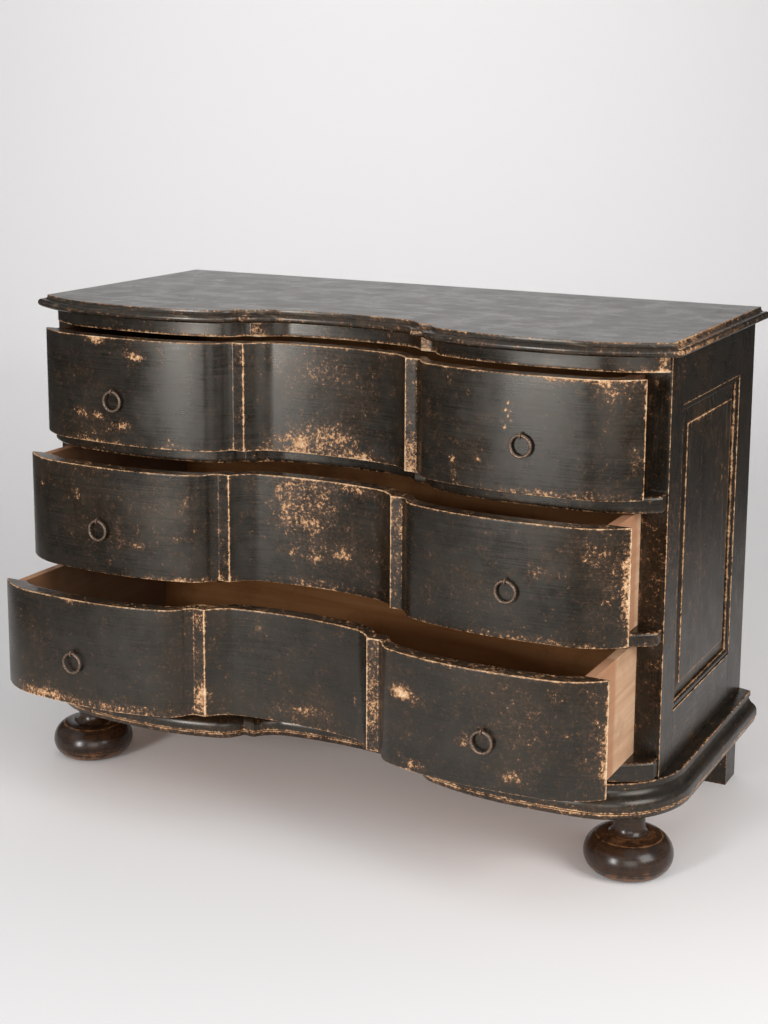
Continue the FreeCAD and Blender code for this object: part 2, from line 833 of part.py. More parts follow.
def make_rear_foot(side, sign):
    # A plain block under the rear corner, with its lower arrises taken off.
    label = "rear_foot_" + side
    body = new_body(label)
    outer = size.carcase_half_width - size.rear_foot_inset
    x_low, x_high = across(sign, outer - size.rear_foot_width, outer)
    plan = Outline(x_low, -size.rear_foot_depth)
    plan.line(x_high, -size.rear_foot_depth).line(x_high, zero).line(x_low, zero)
    block = pad(body, new_sketch(body, label + "_plan", "XY_Plane", plan), size.foot_height)
    document.recompute()
    low_edges = [
        f"Edge{number}"
        for number, edge in enumerate(block.Shape.Edges, start=1)
        if edge.BoundBox.ZMax < near
    ]
    arris = body.newObject("PartDesign::Chamfer", label + "_arris")
    arris.Base = (block, low_edges)
    bind(arris, Size=size.rear_foot_arris)
    body.Tip = arris
    keep(body, label)


def make_drawer_front(name, shift):
    # A thick board sawn to the serpentine on both faces, whose ends lap the sides and the stiles.
    label = name + "_front"
    body = new_body(label)
    outline = front_line(zero, front_half_width, end_depth)
    outline.line(front_half_width, -lap_depth).line(drawer_inner_half, -lap_depth)
    outline.back_along(front_line(-size.front_thick, drawer_inner_half, lap_depth))
    pad(body, new_sketch(body, label + "_plan", "XY_Plane", outline), size.drawer_height)
    mirror_halves(body, label)
    drill = body.newObject("Sketcher::SketchObject", label + "_drill")
    drill.AttachmentSupport = (plane_of(body, "XZ_Plane"), [""])
    drill.MapMode = "FlatFace"
    radius = size.shank_radius + size.shank_clear
    for side, sign in two_sides:
        spot = FreeCAD.Vector(pull_place.number * sign, size.pull_height.number)
        number = drill.addGeometry(Part.Circle(spot, FreeCAD.Vector(0, 0, 1), radius.number))
        for kind, length in (
            (("DistanceX", number, 3), pull_place * sign),
            (("DistanceY", number, 3), size.pull_height),
            (("Radius", number), radius),
        ):
            tied = drill.addConstraint(Sketcher.Constraint(*kind, length.number))
            drill.setExpression(f"Constraints[{tied}]", length.words)
    cut_through(body, label + "_holes", drill)
    keep(body, label, shift)


def make_drawer_bottom(name, shift):
    # A thin board that follows the back of the front, between the sides and under the back.
    label = name + "_bottom"
    body = new_body(label)
    behind_lap = lap_depth - size.panel_clear
    outline = front_line(-(size.front_thick + size.panel_clear), drawer_inner_half, behind_lap)
    outline.line(drawer_inner_half, -drawer_rear).line(zero, -drawer_rear)
    pad(body, new_sketch(body, label + "_plan", "XY_Plane", outline), size.drawer_bottom_thick)
    mirror_halves(body, label)
    keep(body, label, (shift[0], shift[1], shift[2] + size.drawer_bottom_rise))


def turned_piece(kind, name, axis, angle, x, y, z, **lengths):
    piece = document.addObject("Part::" + kind, name)
    bind(piece, **lengths)
    piece.Placement.Rotation = FreeCAD.Rotation(FreeCAD.Vector(*axis), angle)
    place(piece, x, y, z)
    return piece


def make_pull_eye(name, side, sign):
    # An iron eye on a shank that passes through the front and is clenched over inside.
    label = f"{name}_{side}_eye"
    x = pull_place * sign
    ring = turned_piece(
        "Torus", label + "_ring", (0, 1, 0), 90, x, -pivot_depth, size.pull_height,
        Radius1=eye_radius, Radius2=size.eye_wire,
    )
    shank_start = -(pivot_depth - eye_radius)
    clench_start = -(pull_depth - size.front_thick - size.panel_clear)
    shank = turned_piece(
        "Cylinder", label + "_shank", (1, 0, 0), -90, x, shank_start, size.pull_height,
        Radius=size.shank_radius, Height=clench_start - shank_start,
    )
    half = size.clench_length / 2
    clench = box(
        label + "_clench",
        (x - half, clench_start, size.pull_height - size.shank_radius),
        (x + half, clench_start + size.clench_thick, size.pull_height + size.shank_radius),
    )
    eye = document.addObject("Part::MultiFuse", label)
    eye.Shapes = [ring, shank, clench]
    return eye


def make_drawer(name, rail_top, opening):
    shift = (zero, -opening, rail_top + size.under_clear)
    make_drawer_front(name, shift)
    make_drawer_bottom(name, shift)
    for side, sign in two_sides:
        x_low, x_high = across(sign, drawer_inner_half, drawer_half_width)
        low, high = (x_low, -lap_depth, zero), (x_high, -drawer_rear, size.drawer_height)
        board(f"{name}_{side}_side", low, high, shift)
    board(
        name + "_back",
        (-drawer_inner_half, -(drawer_rear + size.drawer_back_thick),
         size.drawer_bottom_rise + size.drawer_bottom_thick),
        (drawer_inner_half, -drawer_rear, size.drawer_height - size.drawer_back_drop),
        shift,
    )
    eyes = document.addObject("Part::Compound", name + "_eyes")
    eyes.Links = [make_pull_eye(name, side, sign) for side, sign in two_sides]
    keep(eyes, name + "_pull_eyes", shift)
    for side, sign in two_sides:
        ring = turned_piece(
            "Torus", f"{name}_{side}_ring_wire", (1, 0, 0), 90, zero, zero, zero,
            Radius1=size.ring_radius, Radius2=size.ring_wire,
        )
        middle = (pull_place * sign, -pivot_depth, size.pull_height - size.ring_radius)
        keep(ring, f"{name}_{side}_ring", [spot + move for spot, move in zip(middle, shift)])


make_top()
make_frieze()
make_drawer_rail("upper_drawer_rail", upper_rail_bottom, size.upper_rail_thick)
make_drawer_rail("lower_drawer_rail", lower_rail_bottom, size.lower_rail_thick)
make_drawer_rail("bottom_rail", plinth_top, size.bottom_rail_height)
make_plinth_front()
for side, sign in two_sides:
    make_plinth_side(side, sign)
    make_side_frame(side, sign)
    make_side_panel(side, sign)
    make_panel_bead(side, sign)
    make_bun_foot(side, sign)
    make_rear_foot(side, sign)
make_back_and_inside()
make_drawer("top_drawer", upper_rail_top, size.open_top)
make_drawer("middle_drawer", lower_rail_top, size.open_middle)
make_drawer("bottom_drawer", bottom_rail_top, size.open_bottom)
document.recompute()

for piece in document.Objects:
    if "Invalid" in piece.State or "Error" in piece.State:
        raise RuntimeError(f"{piece.Label} failed: {piece.State}")
for piece in nodes:
    if piece.Shape.isNull() or not piece.Shape.isValid():
        raise RuntimeError(f"{piece.Label} has no valid shape")

os.makedirs("parts", exist_ok=True)
for piece in nodes:
    piece.Shape.exportStep(f"parts/{piece.Label}.step")
print(len(nodes), "pieces, rest depth", round(rest_depth.number, 2))
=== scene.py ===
import math
import bmesh
import bpy
import numpy as np
from mathutils import Matrix, Vector


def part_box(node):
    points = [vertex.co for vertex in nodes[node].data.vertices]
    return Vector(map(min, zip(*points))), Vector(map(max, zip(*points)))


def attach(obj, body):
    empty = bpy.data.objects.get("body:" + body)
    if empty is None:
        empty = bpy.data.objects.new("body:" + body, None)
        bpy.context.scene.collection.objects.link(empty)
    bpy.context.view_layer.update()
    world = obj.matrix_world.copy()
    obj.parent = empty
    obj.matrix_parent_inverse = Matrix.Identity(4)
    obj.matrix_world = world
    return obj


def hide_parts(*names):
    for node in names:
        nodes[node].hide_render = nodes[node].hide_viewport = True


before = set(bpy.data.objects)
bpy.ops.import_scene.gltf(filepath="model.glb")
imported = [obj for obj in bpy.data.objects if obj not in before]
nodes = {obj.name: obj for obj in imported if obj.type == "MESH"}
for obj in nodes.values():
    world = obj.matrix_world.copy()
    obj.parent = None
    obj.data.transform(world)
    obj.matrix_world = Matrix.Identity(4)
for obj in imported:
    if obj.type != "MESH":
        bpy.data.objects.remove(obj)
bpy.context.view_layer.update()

scene = bpy.context.scene
drawers = ("top_drawer", "middle_drawer", "bottom_drawer")
sides = {"left": -1.0, "right": 1.0}
print("loaded", len(nodes), "nodes")

# camera: solved from the photograph's edges, image 768 x 1024
view = {
    "place": (1.321325, -2.489832, 1.211517),
    "yaw": 26.51755,
    "pitch": 10.19209,
    "roll": 0.44313,
    "focalPixels": 1708.366,
    "centrePixel": (409.993, 388.24),
    "imageSize": (768, 1024),
    "sensorWidth": 36.0,
    "clipEnd": 60.0,
}


def linkObject(name, data):
    thing = bpy.data.objects.new(name, data)
    scene.collection.objects.link(thing)
    return thing


def makeCamera():
    yaw, pitch, roll = (math.radians(view[k]) for k in ("yaw", "pitch", "roll"))
    back = Vector((math.sin(yaw) * math.cos(pitch), -math.cos(yaw) * math.cos(pitch), math.sin(pitch)))
    right = Vector((math.cos(yaw), math.sin(yaw), 0.0))
    up = back.cross(right)
    c, s = math.cos(roll), math.sin(roll)
    axes = (right * c + up * s, up * c - right * s, back)
    data = bpy.data.cameras.new("photoCamera")
    camera = linkObject("photoCamera", data)
    turn = Matrix(axes).transposed().to_4x4()
    camera.matrix_world = Matrix.Translation(view["place"]) @ turn
    wide, high = view["imageSize"]
    data.sensor_width = view["sensorWidth"]
    data.lens = view["focalPixels"] * view["sensorWidth"] / high
    data.shift_x = (wide / 2 - view["centrePixel"][0]) / high
    data.shift_y = (view["centrePixel"][1] - high / 2) / high
    data.clip_end = view["clipEnd"]
    scene.camera = camera


makeCamera()
print("camera set")

# light: a tall soft lamp a little left of the front, one to the right, a weak one near the camera and
# a wide one overhead; the last one faces the wall
light = {
    "room": 0.32,
    "roomColour": (1.0, 0.99, 0.98),
    "aim": (0.0, 0.0, 0.45),
    "lamps": {
        "key": {"place": (-0.95, -4.5, 1.1), "size": (0.8, 1.9), "watts": 132.0},
        "fill": {"place": (2.9, -1.0, 1.7), "size": (1.6, 1.8), "watts": 62.0},
        "bounce": {"place": (2.3, -3.9, 1.0), "size": (2.4, 1.8), "watts": 44.0},
        "overhead": {"place": (-0.4, -2.1, 3.5), "size": (6.0, 5.0), "watts": 44.0},
        "wash": {"place": (-1.6, 3.2, 3.8), "size": (5.0, 1.2), "watts": 66.0, "aim": (-2.7, 5.4, 0.9)},
    },
}


def aimLamp(name, spec):
    data = bpy.data.lights.new(name, "AREA")
    data.shape = "RECTANGLE"
    data.size, data.size_y = spec["size"]
    data.energy = spec["watts"]
    lamp = linkObject(name, data)
    lamp.location = spec["place"]
    aim = Vector(spec.get("aim", light["aim"]))
    lamp.rotation_euler = (aim - lamp.location).to_track_quat("-Z", "Y").to_euler()
    lamp.visible_camera = False


def linkMesh(name, vertices, faces, wear=None, inner=(), sharpAngle=35.0):
    # vertices as an array of points, wear as one number per vertex, inner as the faces left bare
    mesh = bpy.data.meshes.new(name)
    mesh.from_pydata(np.asarray(vertices, float).reshape(-1, 3).tolist(), [], faces)
    count = len(mesh.polygons)
    mesh.polygons.foreach_set("use_smooth", np.ones(count, bool))
    mesh.polygons.foreach_set("material_index", np.isin(np.arange(count), list(inner)).astype(np.int32))
    if wear is not None:
        layer = mesh.attributes.new("wear", "FLOAT", "POINT")
        layer.data.foreach_set("value", np.asarray(wear, np.float32).ravel())
    welded = bmesh.new()
    welded.from_mesh(mesh)
    bmesh.ops.remove_doubles(welded, verts=welded.verts, dist=2e-6)
    bmesh.ops.recalc_face_normals(welded, faces=welded.faces)
    welded.to_mesh(mesh)
    welded.free()
    mesh.set_sharp_from_angle(angle=math.radians(sharpAngle))
    return linkObject(name, mesh)


def gridFaces(rows, columns, closeRows=False, closeColumns=False, offset=0):
    # quads of a grid whose points are numbered row by row
    r, c = np.indices((rows - 1 + closeRows, columns - 1 + closeColumns))
    r2, c2 = (r + 1) % rows, (c + 1) % columns
    quads = np.stack([r * columns + c, r * columns + c2, r2 * columns + c2, r2 * columns + c], axis=-1)
    return (quads.reshape(-1, 4) + offset).tolist()


def gridPoints(x, y, z):
    return np.stack(np.broadcast_arrays(x, y, z), axis=-1)


# serpentine line of the front, half of it, in metres: distances from the middle and from the stiles' face
line = {
    "depth": 0.4475,
    "hollow": 0.0405,
    "bayTurnRun": 0.043,
    "bayRise": 0.009,
    "stripBack": 0.0015,
    "stripInner": 0.148,
    "stripWidth": 0.02,
    "sweepRun": 0.012,
    "sweepRise": 0.0115,
    "shoulderRun": 0.037,
    "shoulderRise": 0.0325,
    "crest": 0.345,
    "crestRise": 0.052,
    "flank": 0.4603,
    "flankFall": 0.0065,
    "endRise": 0.0045,
    "step": 0.004,
}
crestDepth = line["depth"] + line["crestRise"]
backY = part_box("back_board_lower")[1].y


def arcCentre(joint, far, normal):
    # centre of the arc that leaves joint square to the normal and passes through far
    chord = far - joint
    return joint + normal * (chord @ chord / (2 * normal @ chord))


def uprightCentre(crest, far):
    # the same for an arc that runs level at the crest
    return arcCentre(crest, far, np.array([0.0, 1.0]))


def smoothCentre(joint, far, neighbour):
    # the same for an arc that goes on smoothly from its neighbour, whose centre is given
    return arcCentre(joint, far, (neighbour - joint) / np.linalg.norm(neighbour - joint))


def onCircle(centre, radius, angle):
    return np.asarray(centre) + radius * np.stack([np.cos(angle), np.sin(angle)], axis=1)


def fullTurn(count):
    return np.linspace(0.0, 2 * math.pi, count, endpoint=False)


def arcAngles(start, end, centre):
    # angle of the start, and the turn from there to the end the short way round
    first, last = (math.atan2(*(p - centre)[::-1]) for p in (start, end))
    return first, (last - first + math.pi) % (2 * math.pi) - math.pi


def arcRun(start, end, centre, step):
    # points along the short arc from start to end, without the last one
    first, turn = arcAngles(start, end, centre)
    radius = np.linalg.norm(start - centre)
    count = max(4, int(abs(turn) * radius / step))
    return onCircle(centre, radius, first + turn * np.arange(count) / count)


def lineRun(start, end, step):
    count = max(1, int(np.linalg.norm(end - start) / step))
    return start + (end - start) * (np.arange(count) / count)[:, None]


def halfFront(forward, end, flank, swept=True):
    # hollow bay that turns forward, flat strip, short sweep, long lobe: arcs joined as in the solids
    def at(x, rise):
        return np.array([x, line["depth"] + rise + forward])

    step, back = line["step"], line["stripBack"]
    stripX = line["stripInner"] + line["stripWidth"]
    middle = at(0.0, -line["hollow"])
    bayTurn = at(line["stripInner"] - line["bayTurnRun"], line["bayRise"] - line["hollow"])
    stripStart, stripEnd = at(line["stripInner"], -back), at(stripX, -back)
    sweep = at(stripX + line["sweepRun"], line["sweepRise"] - back)
    shoulder = at(stripX + line["shoulderRun"], line["shoulderRise"] - back)
    crest = at(line["crest"], line["crestRise"])
    flank, end = np.array(flank), np.array(end)
    bayCentre = uprightCentre(middle, bayTurn)
    innerCentre, outerCentre = uprightCentre(crest, shoulder), uprightCentre(crest, flank)
    turnFrom = sweep if swept else stripEnd
    turnCentre = smoothCentre(shoulder, turnFrom, innerCentre)
    runs = [
        arcRun(middle, bayTurn, bayCentre, step),
        arcRun(bayTurn, stripStart, smoothCentre(bayTurn, stripStart, bayCentre), step / 2),
        lineRun(stripStart, stripEnd, step / 2),
    ]
    if swept:
        runs.append(arcRun(stripEnd, sweep, smoothCentre(sweep, stripEnd, turnCentre), step / 2))
    runs += [
        arcRun(turnFrom, shoulder, turnCentre, step / 2),
        arcRun(shoulder, crest, innerCentre, step),
        arcRun(crest, flank, outerCentre, step),
        arcRun(flank, end, smoothCentre(flank, end, outerCentre), step),
        end[None],
    ]
    return np.concatenate(runs)


def bothHalves(half):
    return np.concatenate([half[:0:-1] * np.array([-1.0, 1.0]), half])


def inwardNormals(path):
    # mitred normals of a path that runs left to right along the front, pointing back into the wood
    run = np.diff(path, axis=0)
    run /= np.linalg.norm(run, axis=1, keepdims=True)
    side = np.stack([run[:, 1], -run[:, 0]], axis=1)
    before, after = np.vstack([side[:1], side]), np.vstack([side, side[-1:]])
    return (before + after) / (1.0 + np.sum(before * after, axis=1, keepdims=True))


def smoothRamp(value, low, high):
    t = np.clip((value - low) / (high - low), 0.0, 1.0)
    return t * t * (3.0 - 2.0 * t)


def fallOff(distance, amount, reach):
    # falls from the amount to about a third of it at the reach, steepest at the start
    return np.exp(-distance / reach) * amount


def bell(place, at, amount, reach):
    # the same to both sides of a place, with a rounded crown
    return np.exp(-((place - at) / reach) ** 2) * amount


def arcPoints(centre, radius, fromDegrees, toDegrees, count):
    return onCircle(centre, radius, np.radians(np.linspace(fromDegrees, toDegrees, count)))


def joinParts(parts):
    # a profile and its wear, from pairs of points and one wear for each
    points, wear = zip(*parts)
    return np.concatenate(points), np.concatenate(wear)


def trimMitres(path, normal, insets, plan, sharp=0.2, reach=0.08):
    # lines drawn inward from near an outward corner, a turn past sharp, are cut back to its mitre
    run = np.diff(path, axis=0)
    turn = np.diff(np.arctan2(run[:, 1], run[:, 0]))
    index = np.arange(len(path))
    for corner in np.flatnonzero(turn < -sharp) + 1:
        mitre = normal[corner]
        across = np.array([mitre[1], -mitre[0]])
        onMitre = path[corner] + mitre * insets[:, None]
        side = (plan - path[corner]) @ across
        near = np.linalg.norm(path - path[corner], axis=1) < reach
        for way in (-1, 1):
            expected = (path[corner + way] - path[corner]) @ across
            crossed = (near & (index * way > corner * way))[:, None] & (side * expected < 0)
            plan = np.where(crossed[..., None], onMitre[None], plan)
    return plan


def sweepPiece(name, path, profile, wear, base, corners=()):
    # a profile of (distance inward, height) carried along the plan path; the flat above, the flat
    # below, the back and both ends are closed through the extra plan corners
    normal = inwardNormals(path)
    plan = path[:, None, :] + normal[:, None, :] * profile[None, :, :1]
    plan = trimMitres(path, normal, profile[:, 0], plan)
    points = gridPoints(plan[..., 0], backY - plan[..., 1], base + profile[None, :, 1])
    columns, rows = points.shape[:2]
    extra = [(x, backY - depth, base + profile[end, 1]) for end in (0, -1) for x, depth in corners]
    vertices = np.concatenate([points.reshape(-1, 3), np.reshape(extra, (-1, 3))])
    faces = [f[::-1] for f in gridFaces(columns, rows)]
    count, more = columns * rows, len(corners)
    topRow = [*range(0, count, rows), *range(count, count + more)]
    lowRow = [*range(rows - 1, count, rows), *range(count + more, count + 2 * more)]
    inner = [len(faces) + 1]
    faces += [topRow, lowRow[::-1]]
    firstColumn, lastColumn = [*range(rows)], [*range(count - rows, count)]
    if more == 0:
        faces.append(firstColumn + lastColumn[::-1])
    else:
        faces.append(lastColumn[::-1] + [count, count + more])
        for i in range(more - 1):
            faces.append([count + i, count + i + 1, count + more + i + 1, count + more + i])
        faces.append(firstColumn + [count + 2 * more - 1, count + more - 1])
    allWear = np.concatenate([np.broadcast_to(wear, (columns, rows)).ravel(), np.zeros(2 * more)])
    return linkMesh(name, vertices, faces, allWear, inner)


# black paint over a red-brown ground, rubbed through to wood; colours are linear; ramps are lists of
# (value, colour), spans are (from, to) and what those become, noises are (scale, detail, roughness) and
# a relief is (strength, depth)
paint = {
    "coat": [(0.36, (0.005, 0.0036, 0.0022)), (0.66, (0.017, 0.0132, 0.0092))],
    "wood": [(0.43, (0.13, 0.056, 0.026)), (0.53, (0.42, 0.212, 0.096)),
             (0.72, (0.54, 0.33, 0.172)), (0.98, (0.7, 0.56, 0.39))],
    "glaze": (0.018, 0.011, 0.0052),
    "haze": (0.06, 0.03, 0.015),
    "scuff": (0.7, 0.56, 0.39),
    "sheen": (1.0, 0.95, 0.87),
    "glazeSpan": (0.46, 0.66, 0.0, 0.6),
    "hazeSpan": (0.04, 0.46, 0.0, 0.8),
    "scuffSpan": (0.54, 0.8),
    "bareSpan": (0.43, 0.49),
    "roughnessSpan": (0.3, 0.7, 0.23, 0.38),
    "woodRoughness": 0.75,
    "reliefDepth": 0.0005,
    "chipRelief": -0.8,
    "brush": (3.0, 0.6),
    "rub": (6.0, 0.7),
    "broad": (7.0, 3.0, 0.5),
    "cloud": (18.0, 5.0, 0.65),
    "grain": (200.0, 7.0, 0.8),
    "patch": (60.0, 5.0, 0.65),
    "chipDepths": {"grain": 2.3, "patch": 1.00, "broad": 0.45},
}


def fillSockets(node, **sockets):
    # sockets go by name, or by in_ and a number; an output given as the value is linked
    for key, value in sockets.items():
        socket = node.inputs[int(key[3:]) if key.startswith("in_") else key.replace("_", " ")]
        if isinstance(value, bpy.types.NodeSocket):
            node.id_data.links.new(value, socket)
        else:
            socket.default_value = value


def addNode(near, kind, output, **values):
    # an output of a new node, in the same tree as the node or socket near it; values that start with
    # set_ are its own properties, the others its sockets
    node = near.id_data.nodes.new("ShaderNode" + kind)
    for key in [k for k in values if k.startswith("set_")]:
        setattr(node, key[4:], values.pop(key))
    fillSockets(node, **values)
    return node.outputs[output]


def newMaterial(name):
    material = bpy.data.materials.new(name)
    material.use_nodes = True
    shader = next(n for n in material.node_tree.nodes if n.type == "BSDF_PRINCIPLED")
    return material, shader, addNode(shader, "TexCoord", "Object")


def mathNode(operation, first, second=0.0, third=0.0):
    return addNode(first, "Math", 0, set_operation=operation, in_0=first, in_1=second, in_2=third)


def spanNode(value, low, high, toLow=0.0, toHigh=1.0):
    return addNode(
        value, "MapRange", "Result", set_interpolation_type="SMOOTHSTEP",
        Value=value, From_Min=low, From_Max=high, To_Min=toLow, To_Max=toHigh,
    )


def rampNode(value, stops):
    ramp = addNode(value, "ValToRGB", "Color", Fac=value)
    elements = ramp.node.color_ramp.elements
    while len(elements) < len(stops):
        elements.new(0.5)
    for element, (position, colour) in zip(elements, stops):
        element.position = position
        element.color = (*colour, 1.0)
    return ramp


def mixColour(factor, first, second):
    # each colour is an output or an RGB value
    first, second = (c if isinstance(c, bpy.types.NodeSocket) else (*c, 1.0) for c in (first, second))
    return addNode(factor, "Mix", 2, set_data_type="RGBA", in_0=factor, in_6=first, in_7=second)


def noiseNode(place, scale, detail, roughness):
    # the scale is one number, or one for each axis
    if np.ndim(scale):
        place, scale = addNode(place, "Mapping", "Vector", Vector=place, Scale=scale), 1.0
    return addNode(place, "TexNoise", "Fac", Vector=place, Scale=scale, Detail=detail, Roughness=roughness)


def blendNode(first, second, share):
    return mathNode("MULTIPLY_ADD", first, share, mathNode("MULTIPLY", second, 1.0 - share))


def wearNode(near):
    return addNode(near, "Attribute", "Fac", set_attribute_name="wear")


def breakUp(wear, noise, depth):
    return mathNode("ADD", wear, mathNode("MULTIPLY_ADD", noise, depth, -0.5 * depth))


def bumpNormal(height, strength, distance):
    return addNode(height, "Bump", "Normal", Strength=strength, Distance=distance, Height=height)


def splitAxes(vector):
    return addNode(vector, "SeparateXYZ", 0, Vector=vector).node.outputs


# floor and wall, in metres along and across the camera's heading; pale round the chest, painted shade beyond
stage = {
    "front": -7.0,
    "wallAt": 6.0,
    "wallHeight": 6.0,
    "bend": 2.0,
    "halfWidth": 8.0,
    "floor": (0.86, 0.85, 0.85),
    # painted shade: colour of the floor and wall beyond the pale part, in place of a dark room
    "paintedShadeFloor": (0.12,) * 3,
    "paleAside": (1.1, 1.7),
    "paleSpread": 0.2,
    "paleAhead": (-1.8, -1.0),
    "roughness": 0.9,
    "gloss": 0.1,
}


def makeStage():
    # floor that curves up into a wall: a straight run, a quarter circle, a straight rise
    turn = np.linspace(0.0, math.pi / 2, 24)
    radius, wallAt = stage["bend"], stage["wallAt"]
    run = np.concatenate([[stage["front"]], wallAt - radius + radius * np.sin(turn), [wallAt]])
    rise = np.concatenate([[0.0], radius - radius * np.cos(turn), [stage["wallHeight"]]])
    across = np.array([-1.0, 1.0]) * stage["halfWidth"]
    spin = math.radians(view["yaw"])
    x = across[:, None] * math.cos(spin) - run[None, :] * math.sin(spin)
    y = across[:, None] * math.sin(spin) + run[None, :] * math.cos(spin)
    sweep = linkMesh("studioSweep", gridPoints(x, y, rise), gridFaces(*x.shape))
    material, shader, place = newMaterial("paleSweepWithPaintedShade")
    plan = splitAxes(addNode(place, "Mapping", "Vector", Vector=place, Rotation=(0.0, 0.0, -spin)))
    behind = mathNode("MAXIMUM", plan["Y"], 0.0)
    aside = mathNode("MULTIPLY_ADD", behind, -stage["paleSpread"], mathNode("ABSOLUTE", plan["X"]))
    aside = spanNode(aside, *stage["paleAside"])
    ahead = spanNode(plan["Y"], *stage["paleAhead"], 1.0, 0.0)
    # painted shade: away from the chest the floor and wall take the dark colour, so the paint reflects
    # darkness
    colour = mixColour(mathNode("MAXIMUM", aside, ahead), stage["floor"], stage["paintedShadeFloor"])
    fillSockets(shader, Base_Color=colour, Roughness=stage["roughness"], Specular_IOR_Level=stage["gloss"])
    sweep.data.materials.append(material)
    for name, spec in light["lamps"].items():
        aimLamp(name + "Lamp", spec)
    world = bpy.data.worlds.new("room")
    scene.world = world
    world.use_nodes = True
    background = world.node_tree.nodes["Background"]
    fillSockets(background, Color=(*light["roomColour"], 1.0), Strength=light["room"])
    scene.view_settings.view_transform = "Standard"


makeStage()
print("stage and lamps set")


def wornPaint(name, strokes=(9.0, 9.0, 480.0), relief=0.08, scuffs=0.0, drag=(4.0, 90.0, 90.0), shine=0.5):
    # paint brushed along one way; where wear plus three noises passes a threshold the wood shows;
    # strokes and drag are how many brush lines and scuffs go to a metre along x, y and z
    material, shader, place = newMaterial(name)
    streak = noiseNode(place, strokes, *paint["brush"])
    noise = {k: noiseNode(place, *paint[k]) for k in ("broad", "cloud", "grain", "patch")}
    chip = wearNode(place)
    for k, depth in paint["chipDepths"].items():
        chip = breakUp(chip, noise[k], depth)
    bare = spanNode(chip, *paint["bareSpan"])
    shade = blendNode(streak, noise["cloud"], 0.4)
    coat = rampNode(shade, paint["coat"])
    coat = mixColour(spanNode(noise["broad"], *paint["glazeSpan"]), coat, paint["glaze"])
    if scuffs:
        rubs = noiseNode(place, drag, *paint["rub"])
        coat = mixColour(spanNode(rubs, *paint["scuffSpan"], 0.0, scuffs), coat, paint["scuff"])
    coat = mixColour(spanNode(chip, *paint["hazeSpan"]), coat, paint["haze"])
    coated = spanNode(shade, *paint["roughnessSpan"])
    rough = addNode(bare, "Mix", 0, in_0=bare, in_2=coated, in_3=paint["woodRoughness"])
    height = mathNode("MULTIPLY_ADD", bare, paint["chipRelief"], streak)
    fillSockets(
        shader, Base_Color=mixColour(bare, coat, rampNode(chip, paint["wood"])),
        Roughness=rough, Normal=bumpNormal(height, relief, paint["reliefDepth"]),
        Specular_Tint=(*paint["sheen"], 1.0), Specular_IOR_Level=shine,
    )
    return material


upright = {"strokes": (360.0, 360.0, 14.0), "relief": 0.2, "drag": (110.0, 110.0, 9.0), "shine": 0.34}
paintFront = wornPaint("blackPaintFront")
paintTop = wornPaint("blackPaintTop", strokes=(9.0, 380.0, 60.0), relief=0.04, scuffs=0.3)
paintUpright = wornPaint("blackPaintUpright", scuffs=0.06, **upright)
paintPanel = wornPaint("blackPaintPanel", scuffs=0.16, **upright)
paintSideRail = wornPaint("blackPaintSideRail", strokes=(360.0, 14.0, 360.0), relief=0.2, shine=0.42)

# pine boards; bands and fibres are scales across and along a board, and a shade multiplies its colours
pine = {
    "bands": (24.0, 1.5),
    "bandNoise": (3.0, 0.5),
    "bandCount": 8.0,
    "bandShare": 0.4,
    "fibres": (800.0, 20.0),
    "fibreNoise": (4.0, 0.6),
    "relief": (0.25, 0.0005),
    "early": (0.6, 0.385, 0.245),
    "late": (0.46, 0.265, 0.15),
    "dirt": (0.16, 0.085, 0.042),
    "dirtNoise": (9.0, 5.0, 0.65),
    "dirtSpan": (0.48, 0.8, 0.0, 0.7),
    "stain": (0.36, 0.15, 0.07),
    "stainLength": 0.092,
    "stainAmount": 0.65,
    "stainFade": (-0.002, 0.014),
    "stainWander": 0.02,
    # painted shade for the inner face of a drawer's side
    "paintedInnerShade": (0.115, 0.054, 0.022),
    "paintedInnerShadeAmount": 0.75,
    "paintedInnerShadeFade": (0.0004, 0.0014),
    "roughness": 0.7,
    "gloss": 0.25,
    "inside": (0.72, 0.52, 0.3),
    "backs": {"upper": (0.7, 0.49, 0.28), "middle": (0.84, 0.64, 0.4), "lower": (0.62, 0.45, 0.27)},
    "sides": {"top_drawer": (0.2, 0.16, 0.13), "middle_drawer": (1.0,) * 3, "bottom_drawer": (1.0,) * 3},
}


